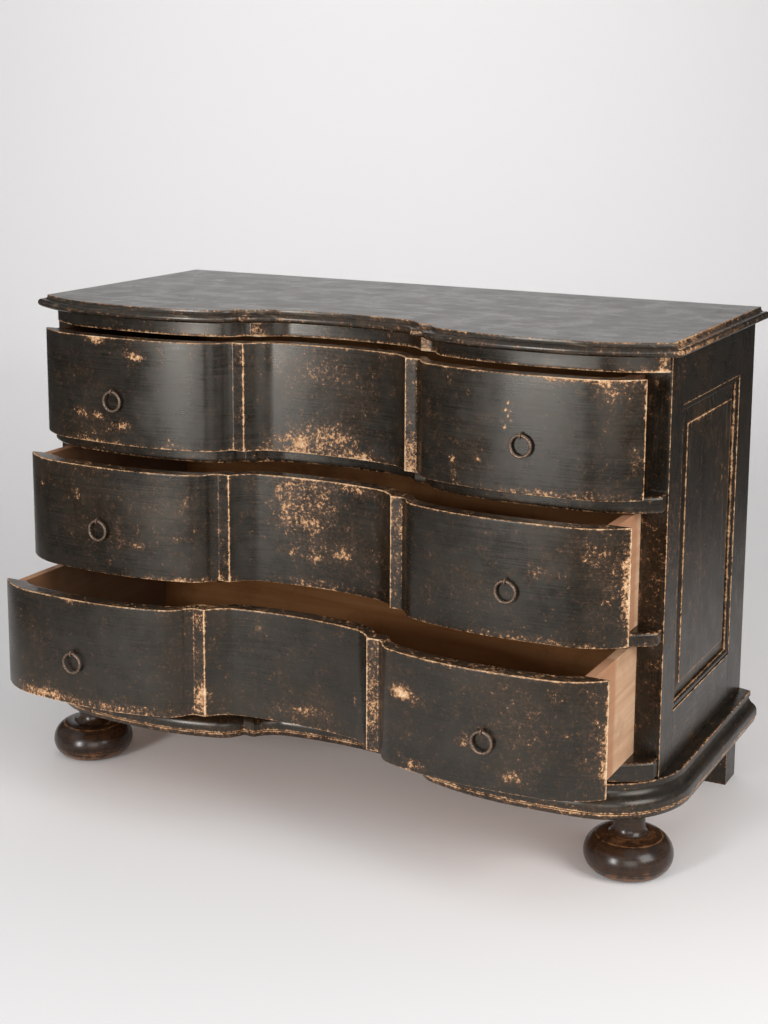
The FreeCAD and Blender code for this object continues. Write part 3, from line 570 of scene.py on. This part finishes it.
def barePine(name, along, shade, stained=None, inner=0.0):
    # sawn pine: growth bands stretched along the board, fine fibres and a little dirt; a drawer's side
    # has a redder stain from its front as far back as the stained y, and painted shade on its inner face
    material, shader, place = newMaterial(name)
    bandScale, fibreScale = ([pine[k][axis == along] for axis in range(3)] for k in ("bands", "fibres"))
    rings = noiseNode(place, bandScale, *pine["bandNoise"])
    bands = mathNode("PINGPONG", mathNode("MULTIPLY", rings, pine["bandCount"]), 1.0)
    fibre = noiseNode(place, fibreScale, *pine["fibreNoise"])
    dirt = noiseNode(place, *pine["dirtNoise"])
    grain = blendNode(bands, fibre, pine["bandShare"])
    colours = {k: tuple(np.multiply(pine[k], shade)) for k in ("early", "late", "dirt", "stain", "paintedInnerShade")}
    wood = rampNode(grain, [(0.2, colours["late"]), (0.75, colours["early"])])
    wood = mixColour(spanNode(dirt, *pine["dirtSpan"]), wood, colours["dirt"])
    if stained is not None:
        axes = splitAxes(place)
        alongY = mathNode("MULTIPLY_ADD", dirt, pine["stainWander"], axes["Y"])
        stain = spanNode(alongY, *np.add(stained, pine["stainFade"]), pine["stainAmount"], 0.0)
        wood = mixColour(stain, wood, colours["stain"])
        # painted shade: the inner face of the side, inward of inner across x, is darkened
        acrossX = mathNode("ABSOLUTE", axes["X"])
        paintedInnerShade = spanNode(acrossX, *np.add(inner, pine["paintedInnerShadeFade"]), pine["paintedInnerShadeAmount"], 0.0)
        wood = mixColour(paintedInnerShade, wood, colours["paintedInnerShade"])
    fillSockets(
        shader, Base_Color=wood, Roughness=pine["roughness"], Specular_IOR_Level=pine["gloss"],
        Normal=bumpNormal(fibre, *pine["relief"]),
    )
    return material


def sideStart(drawer, axis):
    # where a drawer's right side starts across (0) or behind the front (1), in its own coordinates
    return min(corner[axis] for corner in nodes[drawer + "_right_side"].bound_box)


pineInside = barePine("pineInside", 0, pine["inside"])
pineBacks = {"back_board_" + k: barePine(k + "Back", 0, shade) for k, shade in pine["backs"].items()}
pineSides = {
    k: barePine(k + "Side", 1, shade, sideStart(k, 1) + pine["stainLength"], sideStart(k, 0))
    for k, shade in pine["sides"].items()
}

# iron of the rings and eyes
iron = {
    "mottle": (420.0, 5.0, 0.6),
    "colour": [(0.35, (0.05, 0.034, 0.026)), (0.7, (0.24, 0.155, 0.105))],
    "metallic": 0.55,
    "roughnessSpan": (0.3, 0.7, 0.52, 0.34),
    "relief": (0.3, 0.0004),
}


def forgedIron():
    # dark iron with small rubbed spots
    material, shader, place = newMaterial("forgedIron")
    mottle = noiseNode(place, *iron["mottle"])
    fillSockets(
        shader, Base_Color=rampNode(mottle, iron["colour"]), Metallic=iron["metallic"],
        Roughness=spanNode(mottle, *iron["roughnessSpan"]), Normal=bumpNormal(mottle, *iron["relief"]),
    )
    return material


ironMaterial = forgedIron()

# varnish of the bun feet
foot = {
    "lathe": ((9.0, 9.0, 330.0), 4.0, 0.6),
    "mottle": (70.0, 6.0, 0.65),
    "coat": [(0.36, (0.0085, 0.005, 0.0034)), (0.68, (0.046, 0.02, 0.009))],
    "worn": (0.2, 0.088, 0.034),
    "roughness": 0.25,
    "wornRoughness": 0.5,
    "gloss": 0.38,
    "chipDepth": 1.8,
    "bareSpan": (0.2, 0.62, 0.0, 0.85),
    "relief": (0.2, 0.0004),
}


def turnedVarnish():
    # dark brown varnish over turned wood, rubbed in rings
    material, shader, place = newMaterial("turnedVarnish")
    shade = blendNode(noiseNode(place, *foot["lathe"]), noiseNode(place, *foot["mottle"]), 0.5)
    coat = rampNode(shade, foot["coat"])
    bare = spanNode(breakUp(wearNode(place), shade, foot["chipDepth"]), *foot["bareSpan"])
    fillSockets(
        shader, Base_Color=mixColour(bare, coat, foot["worn"]),
        Roughness=spanNode(bare, 0.0, 1.0, foot["roughness"], foot["wornRoughness"]),
        Specular_IOR_Level=foot["gloss"], Normal=bumpNormal(shade, *foot["relief"]),
    )
    return material


footMaterial = turnedVarnish()
print("materials made")


def dress(piece, node, *materials, body="carcase", slot="black_paint"):
    for material in materials:
        piece.data.materials.append(material)
    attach(piece, body)
    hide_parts(node)


# drawer fronts; wear along an edge is (amount, reach), on the back (below, added above)
front = {
    "thick": 0.028,
    "height": 0.18,
    "half": 0.5423,
    "boxHalf": 0.5043,
    "lap": 0.4479,
    "arris": 0.0014,
    "faceRows": 58,
    "faceWear": 0.02,
    "stripWear": 0.14,
    "edgeWear": (0.7, 0.0012),
    "stripInnerWear": (0.78, 0.0011),
    "stripOuterWear": (0.22, 0.001),
    "backEdgeWear": (0.56, 0.0012),
    "backWear": (0.12, 0.14),
    "backFrom": (0.0012, 0.0045),
    "upperFrom": 0.9,
    "endWear": {"top_drawer": 0.16, "middle_drawer": 0.55, "bottom_drawer": 0.5},
}
# patches of wear: (x, height, half width, half height, amount)
patches = {
    "top_drawer": [
        (-0.076, 0.016, 0.046, 0.026, 0.42), (0.0, 0.028, 0.058, 0.032, 0.38),
        (0.06, 0.006, 0.04, 0.012, 0.36), (-0.022, 0.14, 0.056, 0.036, 0.24),
        (-0.401, 0.176, 0.026, 0.007, 0.55), (-0.324, 0.151, 0.018, 0.007, 0.48),
        (-0.35, 0.156, 0.04, 0.008, 0.25), (-0.442, 0.049, 0.014, 0.009, 0.41),
        (-0.403, 0.045, 0.022, 0.008, 0.36), (-0.352, 0.032, 0.022, 0.009, 0.48),
        (-0.261, 0.012, 0.01, 0.012, 0.46), (-0.28, 0.002, 0.2, 0.006, 0.18),
        (0.251, 0.04, 0.006, 0.008, 0.5), (0.296, 0.044, 0.007, 0.006, 0.46),
        (0.253, 0.017, 0.006, 0.01, 0.46), (0.344, 0.136, 0.0026, 0.0032, 0.82),
        (0.341, 0.125, 0.0026, 0.003, 0.82), (0.348, 0.123, 0.0026, 0.003, 0.8),
        (0.345, 0.116, 0.0026, 0.0028, 0.8), (0.335, 0.108, 0.0026, 0.003, 0.82),
        (0.351, 0.11, 0.0026, 0.003, 0.8), (0.34, 0.099, 0.0032, 0.0042, 0.9),
        (0.497, 0.16, 0.026, 0.02, 0.27), (0.44, 0.176, 0.09, 0.006, 0.34),
        (0.42, 0.006, 0.11, 0.006, 0.41), (0.532, 0.06, 0.006, 0.016, 0.39),
        (0.158, 0.03, 0.013, 0.034, 0.39),
    ],
    "middle_drawer": [
        (-0.036, 0.17, 0.075, 0.012, 0.18), (-0.064, 0.135, 0.014, 0.034, 0.12),
        (-0.03, 0.104, 0.048, 0.012, 0.16), (0.014, 0.148, 0.016, 0.026, 0.08),
        (-0.034, 0.138, 0.072, 0.042, 0.32), (-0.049, 0.054, 0.012, 0.01, 0.33),
        (-0.005, 0.052, 0.012, 0.01, 0.3), (0.044, 0.064, 0.014, 0.012, 0.31),
        (0.0, 0.06, 0.09, 0.04, 0.14), (-0.014, 0.008, 0.06, 0.008, 0.34),
        (0.072, 0.172, 0.03, 0.008, 0.39), (-0.329, 0.068, 0.011, 0.024, 0.34),
        (-0.289, 0.054, 0.014, 0.005, 0.41), (-0.214, 0.072, 0.014, 0.006, 0.39),
        (-0.213, 0.134, 0.012, 0.03, 0.21), (-0.415, 0.13, 0.008, 0.012, 0.32),
        (-0.23, 0.004, 0.08, 0.005, 0.3), (-0.497, 0.136, 0.006, 0.004, 0.5),
        (0.334, 0.158, 0.012, 0.003, 0.39), (0.419, 0.106, 0.03, 0.012, 0.23),
        (0.505, 0.145, 0.022, 0.022, 0.24), (0.522, 0.086, 0.018, 0.046, 0.2),
        (0.538, 0.1, 0.006, 0.09, 0.41), (0.42, 0.006, 0.11, 0.006, 0.27),
        (0.158, 0.14, 0.012, 0.03, 0.23),
    ],
    "bottom_drawer": [
        (0.24, 0.118, 0.028, 0.012, 0.43), (0.222, 0.122, 0.014, 0.012, 0.34),
        (0.34, 0.068, 0.009, 0.014, 0.41), (0.25, 0.012, 0.028, 0.011, 0.42),
        (0.414, 0.026, 0.014, 0.01, 0.5), (0.53, 0.09, 0.016, 0.08, 0.2),
        (0.54, 0.06, 0.005, 0.06, 0.22), (0.44, 0.11, 0.06, 0.04, 0.11),
        (-0.44, 0.01, 0.06, 0.01, 0.37), (-0.3, 0.008, 0.11, 0.007, 0.3),
        (-0.374, 0.174, 0.016, 0.005, 0.41), (-0.068, 0.15, 0.012, 0.024, 0.23),
        (0.113, 0.064, 0.005, 0.012, 0.39), (0.01, 0.026, 0.05, 0.014, 0.23),
        (0.158, 0.09, 0.012, 0.08, 0.25), (-0.158, 0.16, 0.012, 0.016, 0.27),
        (-0.156, 0.036, 0.012, 0.024, 0.39),
    ],
}


def easedRectangle(thick, height, radius):
    # closed section of (distance back, height) with rounded corners, its front face cut finely near
    # the arrises
    turns = [(radius, radius, 180, 270), (thick - radius, radius, 270, 360),
             (thick - radius, height - radius, 0, 90), (radius, height - radius, 90, 180)]
    corners = [arcPoints((u, z), radius, a, b, 5) for u, z, a, b in turns]
    near = np.array([0.0018, 0.0024, 0.0032, 0.0045, 0.007, 0.011])
    rows = np.linspace(0.016, height - 0.016, front["faceRows"])
    rise = np.concatenate([near, rows, (height - near)[::-1]])
    face = [(0.0, z) for z in rise[::-1]]
    flat = (0.004, 0.008, 0.02, 0.024)
    low, high = [(u, 0.0) for u in flat], [(u, height) for u in flat[::-1]]
    return np.concatenate([corners[0], low, corners[1], corners[2], high, corners[3], face])


def frontLine(forward, endX, endDepth):
    flank = (line["flank"], crestDepth - line["flankFall"] + forward)
    return bothHalves(halfFront(forward, (endX, endDepth), flank))


def frontWear(drawer, x, back, deep, z):
    # rubbed most along the arrises and the edges of the strips, with soft patches on the face
    toEdge = np.minimum(np.minimum(front["height"] - z, z), front["half"] - np.abs(x))
    wear = fallOff(toEdge, *front["edgeWear"]) + front["faceWear"]
    across, width = np.abs(x) - line["stripInner"], line["stripWidth"]
    wear = np.maximum(wear, fallOff(np.abs(across), *front["stripInnerWear"]))
    wear = np.maximum(wear, fallOff(np.abs(across - width), *front["stripOuterWear"]))
    wear += (np.abs(across - width / 2) < width / 2) * front["stripWear"]
    for px, pz, rx, rz, amount in patches[drawer]:
        wear += amount * np.exp(-((x - px) / rx) ** 2 - ((z - pz) / rz) ** 2)
    behind = smoothRamp(back, *front["backFrom"])
    above = smoothRamp(z, front["upperFrom"] * front["height"], front["height"])
    inner = above * fallOff(deep - back, *front["backEdgeWear"])
    low, more = front["backWear"]
    return wear * (1 - behind) + np.maximum(np.minimum(wear, low + more * above), inner) * behind


def makeDrawerFront(drawer):
    # an eased rectangle carried along the serpentine line, set straight back at every point and as
    # thick there as the wood between the face and the back; it draws in by the arris at both ends
    node = drawer + "_front"
    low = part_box(node)[0]
    half, boxHalf, thick, height, arris = (front[k] for k in ("half", "boxHalf", "thick", "height", "arris"))
    path = frontLine(0.0, half, line["depth"] + line["endRise"])
    behind = frontLine(-thick, boxHalf, front["lap"])
    near = np.array([0.8 * arris, 0.003, 0.006])
    inside = np.abs(path[:, 0]) < half - 0.007
    x = np.sort(np.concatenate([path[inside, 0], near - half, half - near, [-boxHalf, boxHalf]]))
    x = np.concatenate([[-half, -half], x, [half, half]])
    depth = np.interp(x, path[:, 0], path[:, 1])
    deep = depth - np.interp(x, behind[:, 0], behind[:, 1])
    section = easedRectangle(thick, height, arris)
    u, z = section[:, 0], section[:, 1]
    spread = arris + (u - arris) * (deep[:, None] - 2 * arris) / (thick - 2 * arris)
    back = np.where(u > thick - arris, deep[:, None] - thick + u, np.where(u < arris, u, spread))
    rise = np.broadcast_to(z, back.shape).copy()
    middle = deep[:, None] / 2
    for ends, drawn in (([1, -2], 0.8), ([0, -1], 1.5)):
        back[ends] = middle[ends] + (back[ends] - middle[ends]) * (1 - drawn * arris / middle[ends])
        rise[ends] = height / 2 + (rise[ends] - height / 2) * (1 - 1.6 * drawn * arris / height)
    opening = backY - crestDepth - low.y
    points = gridPoints(x[:, None], backY - opening - depth[:, None] + back, low.z + rise)
    columns, rows = back.shape
    faces = [f[::-1] for f in gridFaces(columns, rows, closeColumns=True)]
    backRow = np.flatnonzero(np.isclose(u, thick, atol=arris * 0.3))
    boxed = np.flatnonzero(np.abs(x) < boxHalf - 0.001)
    inner = (boxed[:-1, None] * rows + backRow[None, :-1]).ravel()
    faces += [[*range(rows)], [*range(columns * rows - 1, (columns - 1) * rows - 1, -1)]]
    wear = frontWear(drawer, x[:, None], back, deep[:, None], rise)
    wear[[0, -1]] = front["endWear"][drawer]
    piece = linkMesh(drawer + "FrontPainted", points, faces, wear, inner)
    dress(piece, node, paintFront, pineInside, body=drawer)


for drawer in drawers:
    makeDrawerFront(drawer)
print("drawer fronts made")

# rails between the drawers; stripWear and endWear are (distance out, amount, reach)
rail = {
    "proud": 0.018,
    "nose": 0.005,
    "lip": 0.0185,
    "lipEnd": 0.559,
    "opening": 0.5205,
    "back": 0.3405,
    "flat": 0.012,
    "wear": 0.36,
    "wearReach": 0.0016,
    "faceWear": 0.06,
    "flatWear": 0.1,
    "friezeNose": 0.0015,
    "friezeWear": 0.58,
    "stripWear": (0.008, 0.4, 0.012),
    "endWear": (-0.008, 0.45, 0.01),
}


def noseProfile(height, radius, amount):
    # from the flat above, round the nose and back along the flat below: (distance inward, height)
    top = arcPoints((radius, height - radius), radius, 90, 180, 7)
    low = arcPoints((radius, radius), radius, 180, 270, 7)
    face = [(0.0, z) for z in np.linspace(height - radius, radius, 7)[1:-1]]
    profile = np.concatenate([[[rail["flat"], height]], top, face, low, [[rail["flat"], 0.0]]])
    toArris = np.minimum(height - profile[:, 1], profile[:, 1])
    wear = rail["faceWear"] + bell(toArris, radius * 0.3, amount, rail["wearReach"])
    wear[[0, -1]] = rail["flatWear"]
    return profile, wear


def makeRail(node, forward, lip, nose, amount):
    # a nosed profile carried along the serpentine line to the ends of its lips on the stiles
    low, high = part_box(node)
    profile, wear = noseProfile(high.z - low.z, nose, amount)
    end, depth, inner, back = rail["lipEnd"], line["depth"], rail["opening"], rail["back"]
    path = np.concatenate([[[-end, depth]], frontLine(forward, end, depth + lip), [[end, depth]]])
    corners = [(inner, depth), (inner, back), (-inner, back), (-inner, depth)]
    if node == "frieze_rail":
        wear = wear + bell(np.abs(path[:, :1]) - line["stripInner"], *rail["stripWear"])
        wear = wear + bell(path[:, :1] - end, *rail["endWear"])
    dress(sweepPiece(node + "Painted", path, profile, wear, low.z, corners), node, paintFront, pineInside)


for node in ("upper_drawer_rail", "lower_drawer_rail", "bottom_rail"):
    makeRail(node, rail["proud"], rail["lip"], rail["nose"], rail["wear"])
makeRail("frieze_rail", 0.0, line["endRise"], rail["friezeNose"], rail["friezeWear"])
print("rails made")

# moulded top; stripWear and tipWear are (distance, amount, reach)
top = {
    "forward": 0.038,
    "noseX": 0.585,
    "corner": 0.474,
    "flankRun": 0.165,
    "flankFall": 0.003,
    "thick": 0.021,
    "mould": 0.015,
    "fillet": 0.002,
    "noseRadius": 0.0065,
    "noseLevel": 0.0075,
    "quirk": 0.01,
    "stripWear": (0.006, 0.26, 0.012),
    "tipWear": (0.0, 0.3, 0.012),
}


def topProfile():
    # flat, eased arris, fillet, cove, round nose, quirk: (distance inward, height), with its wear
    thick, mould, quirk = top["thick"], top["mould"], top["quirk"]
    level, bulge = top["noseLevel"], top["noseRadius"]
    coveStart = np.array([mould, thick - top["fillet"]])
    coveEnd = np.array([bulge, level + bulge])
    chord = coveEnd - coveStart
    radius = chord @ chord / (2 * -chord[0])
    coveCentre = coveStart - np.array([radius, 0.0])
    last = math.degrees(math.atan2(*(coveEnd - coveCentre)[::-1]))
    noseWear = 0.08 + 0.12 * np.cos(np.linspace(-math.pi, math.pi, 15)) ** 2
    return joinParts([
        ([[inset, thick] for inset in (0.034, 0.026, 0.02, 0.0175)], [0.02, 0.04, 0.08, 0.16]),
        (arcPoints((mould + 0.0007, thick - 0.0007), 0.0007, 90, 180, 4), [0.38] * 4),
        (coveStart[None], [0.22]),
        (arcPoints(coveCentre, radius, -6, last, 8), np.linspace(0.14, 0.1, 8)),
        (arcPoints((bulge, level), bulge, 90, 270, 15), noseWear),
        ([[quirk, level - bulge], [quirk, 0.0005], [quirk + 0.0005, 0.0]], [0.2, 0.3, 0.2]),
        ([[0.03, 0.0]], [0.0]),
    ])


def makeTop():
    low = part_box("top_board")[0]
    forward, noseX = top["forward"], top["noseX"]
    flank = (noseX - top["flankRun"], crestDepth + forward - top["flankFall"])
    half = halfFront(forward, (noseX, top["corner"]), flank, swept=False)
    path = bothHalves(np.concatenate([half, [[noseX, 0.0]]]))
    profile, wear = topProfile()
    strip = bell(np.abs(path[:, :1]) - line["stripInner"], *top["stripWear"])
    tip = bell(np.hypot(np.abs(path[:, :1]) - noseX, path[:, 1:] - top["corner"]), *top["tipWear"])
    along = (strip + tip) * smoothRamp(wear, 0.06, 0.14)
    dress(sweepPiece("topPainted", path, profile, wear + along, low.z), "top_board", paintTop, pineInside)


makeTop()
print("top made")

# moulded plinth
plinth = {
    "over": 0.032,
    "cornerRun": 0.1335,
    "blockBack": 0.3305,
    "sideWidth": 0.075,
    "height": 0.057,
    "slope": 0.0025,
    "filletInset": 0.012,
    "fillet": 0.009,
    "filletStep": 0.003,
    "noseTop": 0.02,
    "band": 0.009,
    "bandInset": 0.0015,
    "batter": 0.0025,
    "quirk": 0.002,
}


def plinthProfile():
    # slope, fillet, ogee, nose, quirk and battered band: (distance inward, height), with its wear
    p = plinth
    over, height, inset = p["over"], p["height"], p["filletInset"]
    band, bandTop = p["bandInset"], p["band"]
    filletTop = height - p["slope"]
    filletLow = filletTop - p["fillet"]
    ogeeInset = inset + p["filletStep"]
    half = np.array([ogeeInset / 2, (filletLow - p["noseTop"]) / 2])
    radius = half @ half / (2 * half[0])
    swing = math.degrees(math.asin(half[1] / radius))
    quirkIn, quirkTop = band + p["quirk"], bandTop + p["quirk"]
    return joinParts([
        ([[over + 0.004, height], [over, height], [inset + 0.004, filletTop + 0.0005]], [0.0, 0.02, 0.08]),
        (arcPoints((inset + 0.0008, filletTop - 0.0008), 0.0008, 90, 180, 4), [0.46] * 4),
        ([[inset, filletTop - 0.0025], [inset, filletLow + 0.002], [inset, filletLow + 0.0005],
          [inset + 0.0005, filletLow]], [0.06, 0.05, 0.28, 0.16]),
        (arcPoints((ogeeInset - radius, filletLow), radius, 0, -swing, 8), np.linspace(0.06, 0.03, 8)),
        (arcPoints((radius, p["noseTop"]), radius, 180 - swing, 180, 8)[1:], np.linspace(0.04, 0.12, 7)),
        ([[0.0, quirkTop + 0.004], [0.0, quirkTop + 0.0018], [0.0, quirkTop + 0.0005], [0.0006, quirkTop],
          [quirkIn, quirkTop], [quirkIn, bandTop], [band + 0.0005, bandTop], [band, bandTop - 0.0006],
          [band + 0.0005, bandTop - 0.0024], [band + p["batter"] * 0.9, 0.0008],
          [band + p["batter"] + 0.0006, 0.0]],
         [0.12, 0.34, 0.6, 0.56, 0.0, 0.0, 0.6, 0.6, 0.26, 0.2, 0.3]),
        ([[0.012, 0.0]], [0.0]),
    ])


def makePlinth():
    low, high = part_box("plinth_front")
    forward, noseX = plinth["over"], high.x
    crest = np.array([line["crest"], crestDepth + forward])
    flank = np.array([noseX - plinth["cornerRun"], crest[1] - line["flankFall"]])
    inward = uprightCentre(crest, flank) - flank
    inward /= np.linalg.norm(inward)
    centre = flank + inward * ((noseX - flank[0]) / (1 + inward[0]))
    half = halfFront(forward, (noseX, centre[1]), flank, swept=False)
    path = bothHalves(np.concatenate([half, [[noseX, plinth["blockBack"]]]]))
    profile, wear = plinthProfile()
    piece = sweepPiece("plinthFrontPainted", path, profile, wear, low.z)
    dress(piece, "plinth_front", paintFront, pineInside)
    for side, sign in sides.items():
        inner = (noseX - plinth["sideWidth"]) * sign
        ends = [(noseX * sign, plinth["blockBack"]), (noseX * sign, 0.0)]
        corners = [(inner, 0.0), (inner, plinth["blockBack"])]
        if sign < 0:
            ends, corners = ends[::-1], corners[::-1]
        name = f"plinth{side.capitalize()}Painted"
        piece = sweepPiece(name, np.array(ends), profile, wear, low.z, corners)
        dress(piece, "plinth_" + side, paintSideRail, pineInside)


makePlinth()
print("plinth made")

# boards of the side frames and the rear feet; wear is (on arrises, on faces)
frameBoard = {
    "arris": 0.0006,
    "reach": 0.0014,
    "cornerWear": 0.74,
    "panelWear": 0.84,
    "wear": {
        "front_stile_": (0.24, 0.1),
        "rear_stile_": (0.2, 0.02),
        "side_top_rail_": (0.1, 0.02),
        "side_bottom_rail_": (0.1, 0.05),
        "rear_foot_": (0.42, 0.04),
    },
}


def spacing(length):
    # places along an edge, close together near both ends
    near = np.array([0.0, 0.0004, 0.0008, 0.0014, 0.0024, 0.004, 0.007, 0.014])
    near = near[near < length * 0.3]
    middle = np.linspace(near[-1], length - near[-1], max(3, int(length / 0.03)))
    return np.concatenate([near, middle[1:-1], (length - near)[::-1]])


def makeBoard(kind, side, material):
    # a box drawn in to a rounded one: each point of a grid on the box moves to within the arris of
    # the inner box; wear falls off from the nearest arris
    node = kind + side
    low, high = np.array(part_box(node))
    size, arris = high - low, frameBoard["arris"]
    points, faces, offset = [], [], 0
    for axis in range(3):
        s, t = (spacing(size[(axis + more) % 3]) for more in (1, 2))
        for level in (0.0, size[axis]):
            grid = np.roll(gridPoints(level, s[:, None], t[None, :]), axis, axis=-1)
            faces += gridFaces(len(s), len(t), offset=offset)
            points.append(grid.reshape(-1, 3))
            offset += len(s) * len(t)
    q = np.concatenate(points)
    core = np.clip(q, arris, size - arris)
    away = q - core
    rounded = core + away * (arris / np.maximum(np.linalg.norm(away, axis=1, keepdims=True), 1e-9))
    toFace = np.sort(np.minimum(q, size - q), axis=1)
    reach = frameBoard["reach"]
    edge, face = frameBoard["wear"][kind]
    wear = fallOff(toFace[:, 1], edge, reach) + face
    toSide = size[0] - q[:, 0] if side == "right" else q[:, 0]
    bead = np.array(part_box("panel_bead_" + side))[:, 1:]
    beyond = np.maximum(np.maximum(bead[0] - low[1:] - q[:, 1:], q[:, 1:] + low[1:] - bead[1]), 0.0)
    toPanel = np.linalg.norm(beyond, axis=1) + toSide
    wear = np.maximum(wear, fallOff(toPanel, frameBoard["panelWear"], reach))
    if kind == "front_stile_":
        wear = np.maximum(wear, fallOff(toSide + q[:, 1], frameBoard["cornerWear"], reach))
    dress(linkMesh(node + "Painted", low + rounded, faces, wear, sharpAngle=50.0), node, material)


for side in sides:
    for kind in frameBoard["wear"]:
        makeBoard(kind, side, paintSideRail if "rail" in kind else paintUpright)
print("side frames made")

# raised side panels and their beads
panel = {
    "margin": 0.034,
    "fieldInset": 0.003,
    "step": 0.0015,
    "beadWidth": 0.01,
    "beadInset": 0.001,
    "beadRound": 0.004,
    "plateInset": 0.009,
    "plateThick": 0.005,
    "tongue": 0.007,
    "beadWear": 0.74,
}


def nestedRings(node, sign, insets, outs):
    # one rectangle per step, drawn in by inset and raised by out from the face of the plate
    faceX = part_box("front_stile_right")[1].x
    low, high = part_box(node)
    insets, outs = np.asarray(insets), np.asarray(outs)
    y = np.stack([low.y + insets, high.y - insets, high.y - insets, low.y + insets], axis=1)
    z = np.stack([low.z + insets, low.z + insets, high.z - insets, high.z - insets], axis=1)
    return gridPoints((sign * (faceX - panel["plateInset"] + outs))[:, None], y, z)


def makePanel(side, sign):
    # a profile of (distance in from the frame, distance out from the plate) carried round a rectangle
    bead = "panel_bead_" + side
    field = panel["plateInset"] - panel["fieldInset"]
    m, w = panel["margin"], panel["beadWidth"]
    tongue = [-panel["tongue"]] * 2
    insets = tongue + [w - 0.002, m - 0.004, m - 0.0005, m, m + 0.0003, m + 0.001, m + 0.003, m + 0.012]
    slope = field - panel["step"]
    outs = [-panel["plateThick"], 0.0, 0.0, slope * 0.85, slope, slope, field - 0.0004, field, field, field]
    wear = [0.0, 0.0, 0.06, 0.06, 0.16, 0.34, 0.62, 0.58, 0.16, 0.06]
    points = nestedRings(bead, sign, insets, outs)
    last = len(points) * 4
    faces = gridFaces(len(points), 4, closeColumns=True) + [[3, 2, 1, 0], [*range(last - 4, last)]]
    name = f"sidePanel{side.capitalize()}Painted"
    piece = linkMesh(name, points, faces, np.repeat(wear, 4), sharpAngle=8.0)
    dress(piece, "side_panel_" + side, paintPanel)
    crown, r = panel["plateInset"] - panel["beadInset"], panel["beadRound"]
    outer = arcPoints((r, crown - r), r, 180, 90, 7)
    inner = arcPoints((w - r, crown - r), r, 90, 0, 7)
    section = np.concatenate([[[0.0, 0.0]], outer, inner, [[w, 0.0]]])
    fade = panel["beadWear"] * np.linspace(1.0, 0.0, 7) ** 3
    wear = np.concatenate([[0.1], fade, fade[::-1], [0.1]])
    points = nestedRings(bead, sign, section[:, 0], section[:, 1])
    faces = gridFaces(len(points), 4, closeRows=True, closeColumns=True)
    name = f"panelBead{side.capitalize()}Painted"
    piece = linkMesh(name, points, faces, np.repeat(wear, 4), sharpAngle=40.0)
    dress(piece, bead, paintUpright)


for side, sign in sides.items():
    makePanel(side, sign)
print("panels made")

# bun feet; the groove is (radius, depth, reach), each worn ring (height, amount, reach)
bun = {
    "radius": 0.0705,
    "waist": 0.029,
    "sole": 0.046,
    "topHeight": 0.062,
    "topRadius": 0.033,
    "neck": 0.025,
    "neckHeight": 0.076,
    "neckMiddle": 0.09,
    "height": 0.105,
    "turns": 96,
    "groove": (0.04, 0.0016, 0.0014),
    "wornRings": [(0.009, 0.4, 0.012), (0.0588, 0.42, 0.0012), (0.0625, 0.3, 0.0014)],
}


def levelRun(corner, far, count):
    # an arc that runs upright at the corner and ends at far
    corner, far = np.array(corner), np.array(far)
    centre = arcCentre(corner, far, np.array([1.0, 0.0]))
    first, turn = arcAngles(corner, far, centre)
    return onCircle(centre, np.linalg.norm(corner - centre), first + turn * np.linspace(0, 1, count))


def makeBun(side):
    # a turned profile of (radius, height) spun round the upright axis
    node = "bun_foot_" + side
    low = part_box(node)[0]
    centre = np.mean(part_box(node), axis=0)
    waist, sole = (bun["radius"], bun["waist"]), (bun["sole"], 0.0)
    shoulder, neck = (bun["topRadius"], bun["topHeight"]), (bun["neck"], bun["neckHeight"])
    profile = np.concatenate([
        levelRun(waist, sole, 18)[::-1], levelRun(waist, shoulder, 90)[1:],
        levelRun(neck, shoulder, 10)[::-1][1:],
        [[bun["neck"], bun["neckMiddle"]], [bun["neck"], bun["height"]]],
    ])
    onTop = (profile[:, 1] > bun["waist"]) & (profile[:, 1] < bun["topHeight"])
    profile[:, 1] -= onTop * bell(profile[:, 0], *bun["groove"])
    reach, rise, turns = profile[:, :1], profile[:, 1:], bun["turns"]
    turn = fullTurn(turns)
    points = gridPoints(centre[0] + reach * np.cos(turn), centre[1] + reach * np.sin(turn), low.z + rise)
    faces = gridFaces(len(profile), turns, closeColumns=True)
    faces += [[*range(turns)], [*range((len(profile) - 1) * turns, len(profile) * turns)]]
    wear = sum(bell(rise, *worn) for worn in bun["wornRings"])
    piece = linkMesh(f"bunFoot{side.capitalize()}Turned", points, faces, np.repeat(wear, turns))
    dress(piece, node, footMaterial, slot="foot_varnish")


for side in sides:
    makeBun(side)
print("feet made")

# rings
ring = {"radius": 0.0162, "wire": 0.0025, "hammered": 0.0002, "around": 72, "section": 20}


def makeRing(node):
    # a round wire bent into a ring: angle round the ring, angle round the wire; the wire thins a little
    centre = np.mean(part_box(node), axis=0)
    a = fullTurn(ring["around"])[:, None]
    b = fullTurn(ring["section"])[None, :]
    wire = ring["wire"] - ring["hammered"] * (1 + np.sin(3 * a + 2 * b)) / 2
    reach = ring["radius"] + wire * np.cos(b)
    points = gridPoints(reach * np.cos(a), wire * np.sin(b), reach * np.sin(a)) + centre
    faces = gridFaces(ring["around"], ring["section"], closeRows=True, closeColumns=True)
    piece = linkMesh(node + "Forged", points, faces, sharpAngle=80.0)
    dress(piece, node, ironMaterial, body=node, slot="iron")


for drawer in drawers:
    for side in sides:
        makeRing(f"{drawer}_{side}_ring")
print("rings made")

# the nodes that no piece stands for keep their solids and get pine or iron
for name, obj in nodes.items():
    material = pineBacks.get(name, pineInside)
    if name.endswith("pull_eyes"):
        material = ironMaterial
    elif name.endswith("_side"):
        material = pineSides[name.rsplit("_", 2)[0]]
    obj.data.materials.clear()
    obj.data.materials.append(material)
print("pine boards dressed")
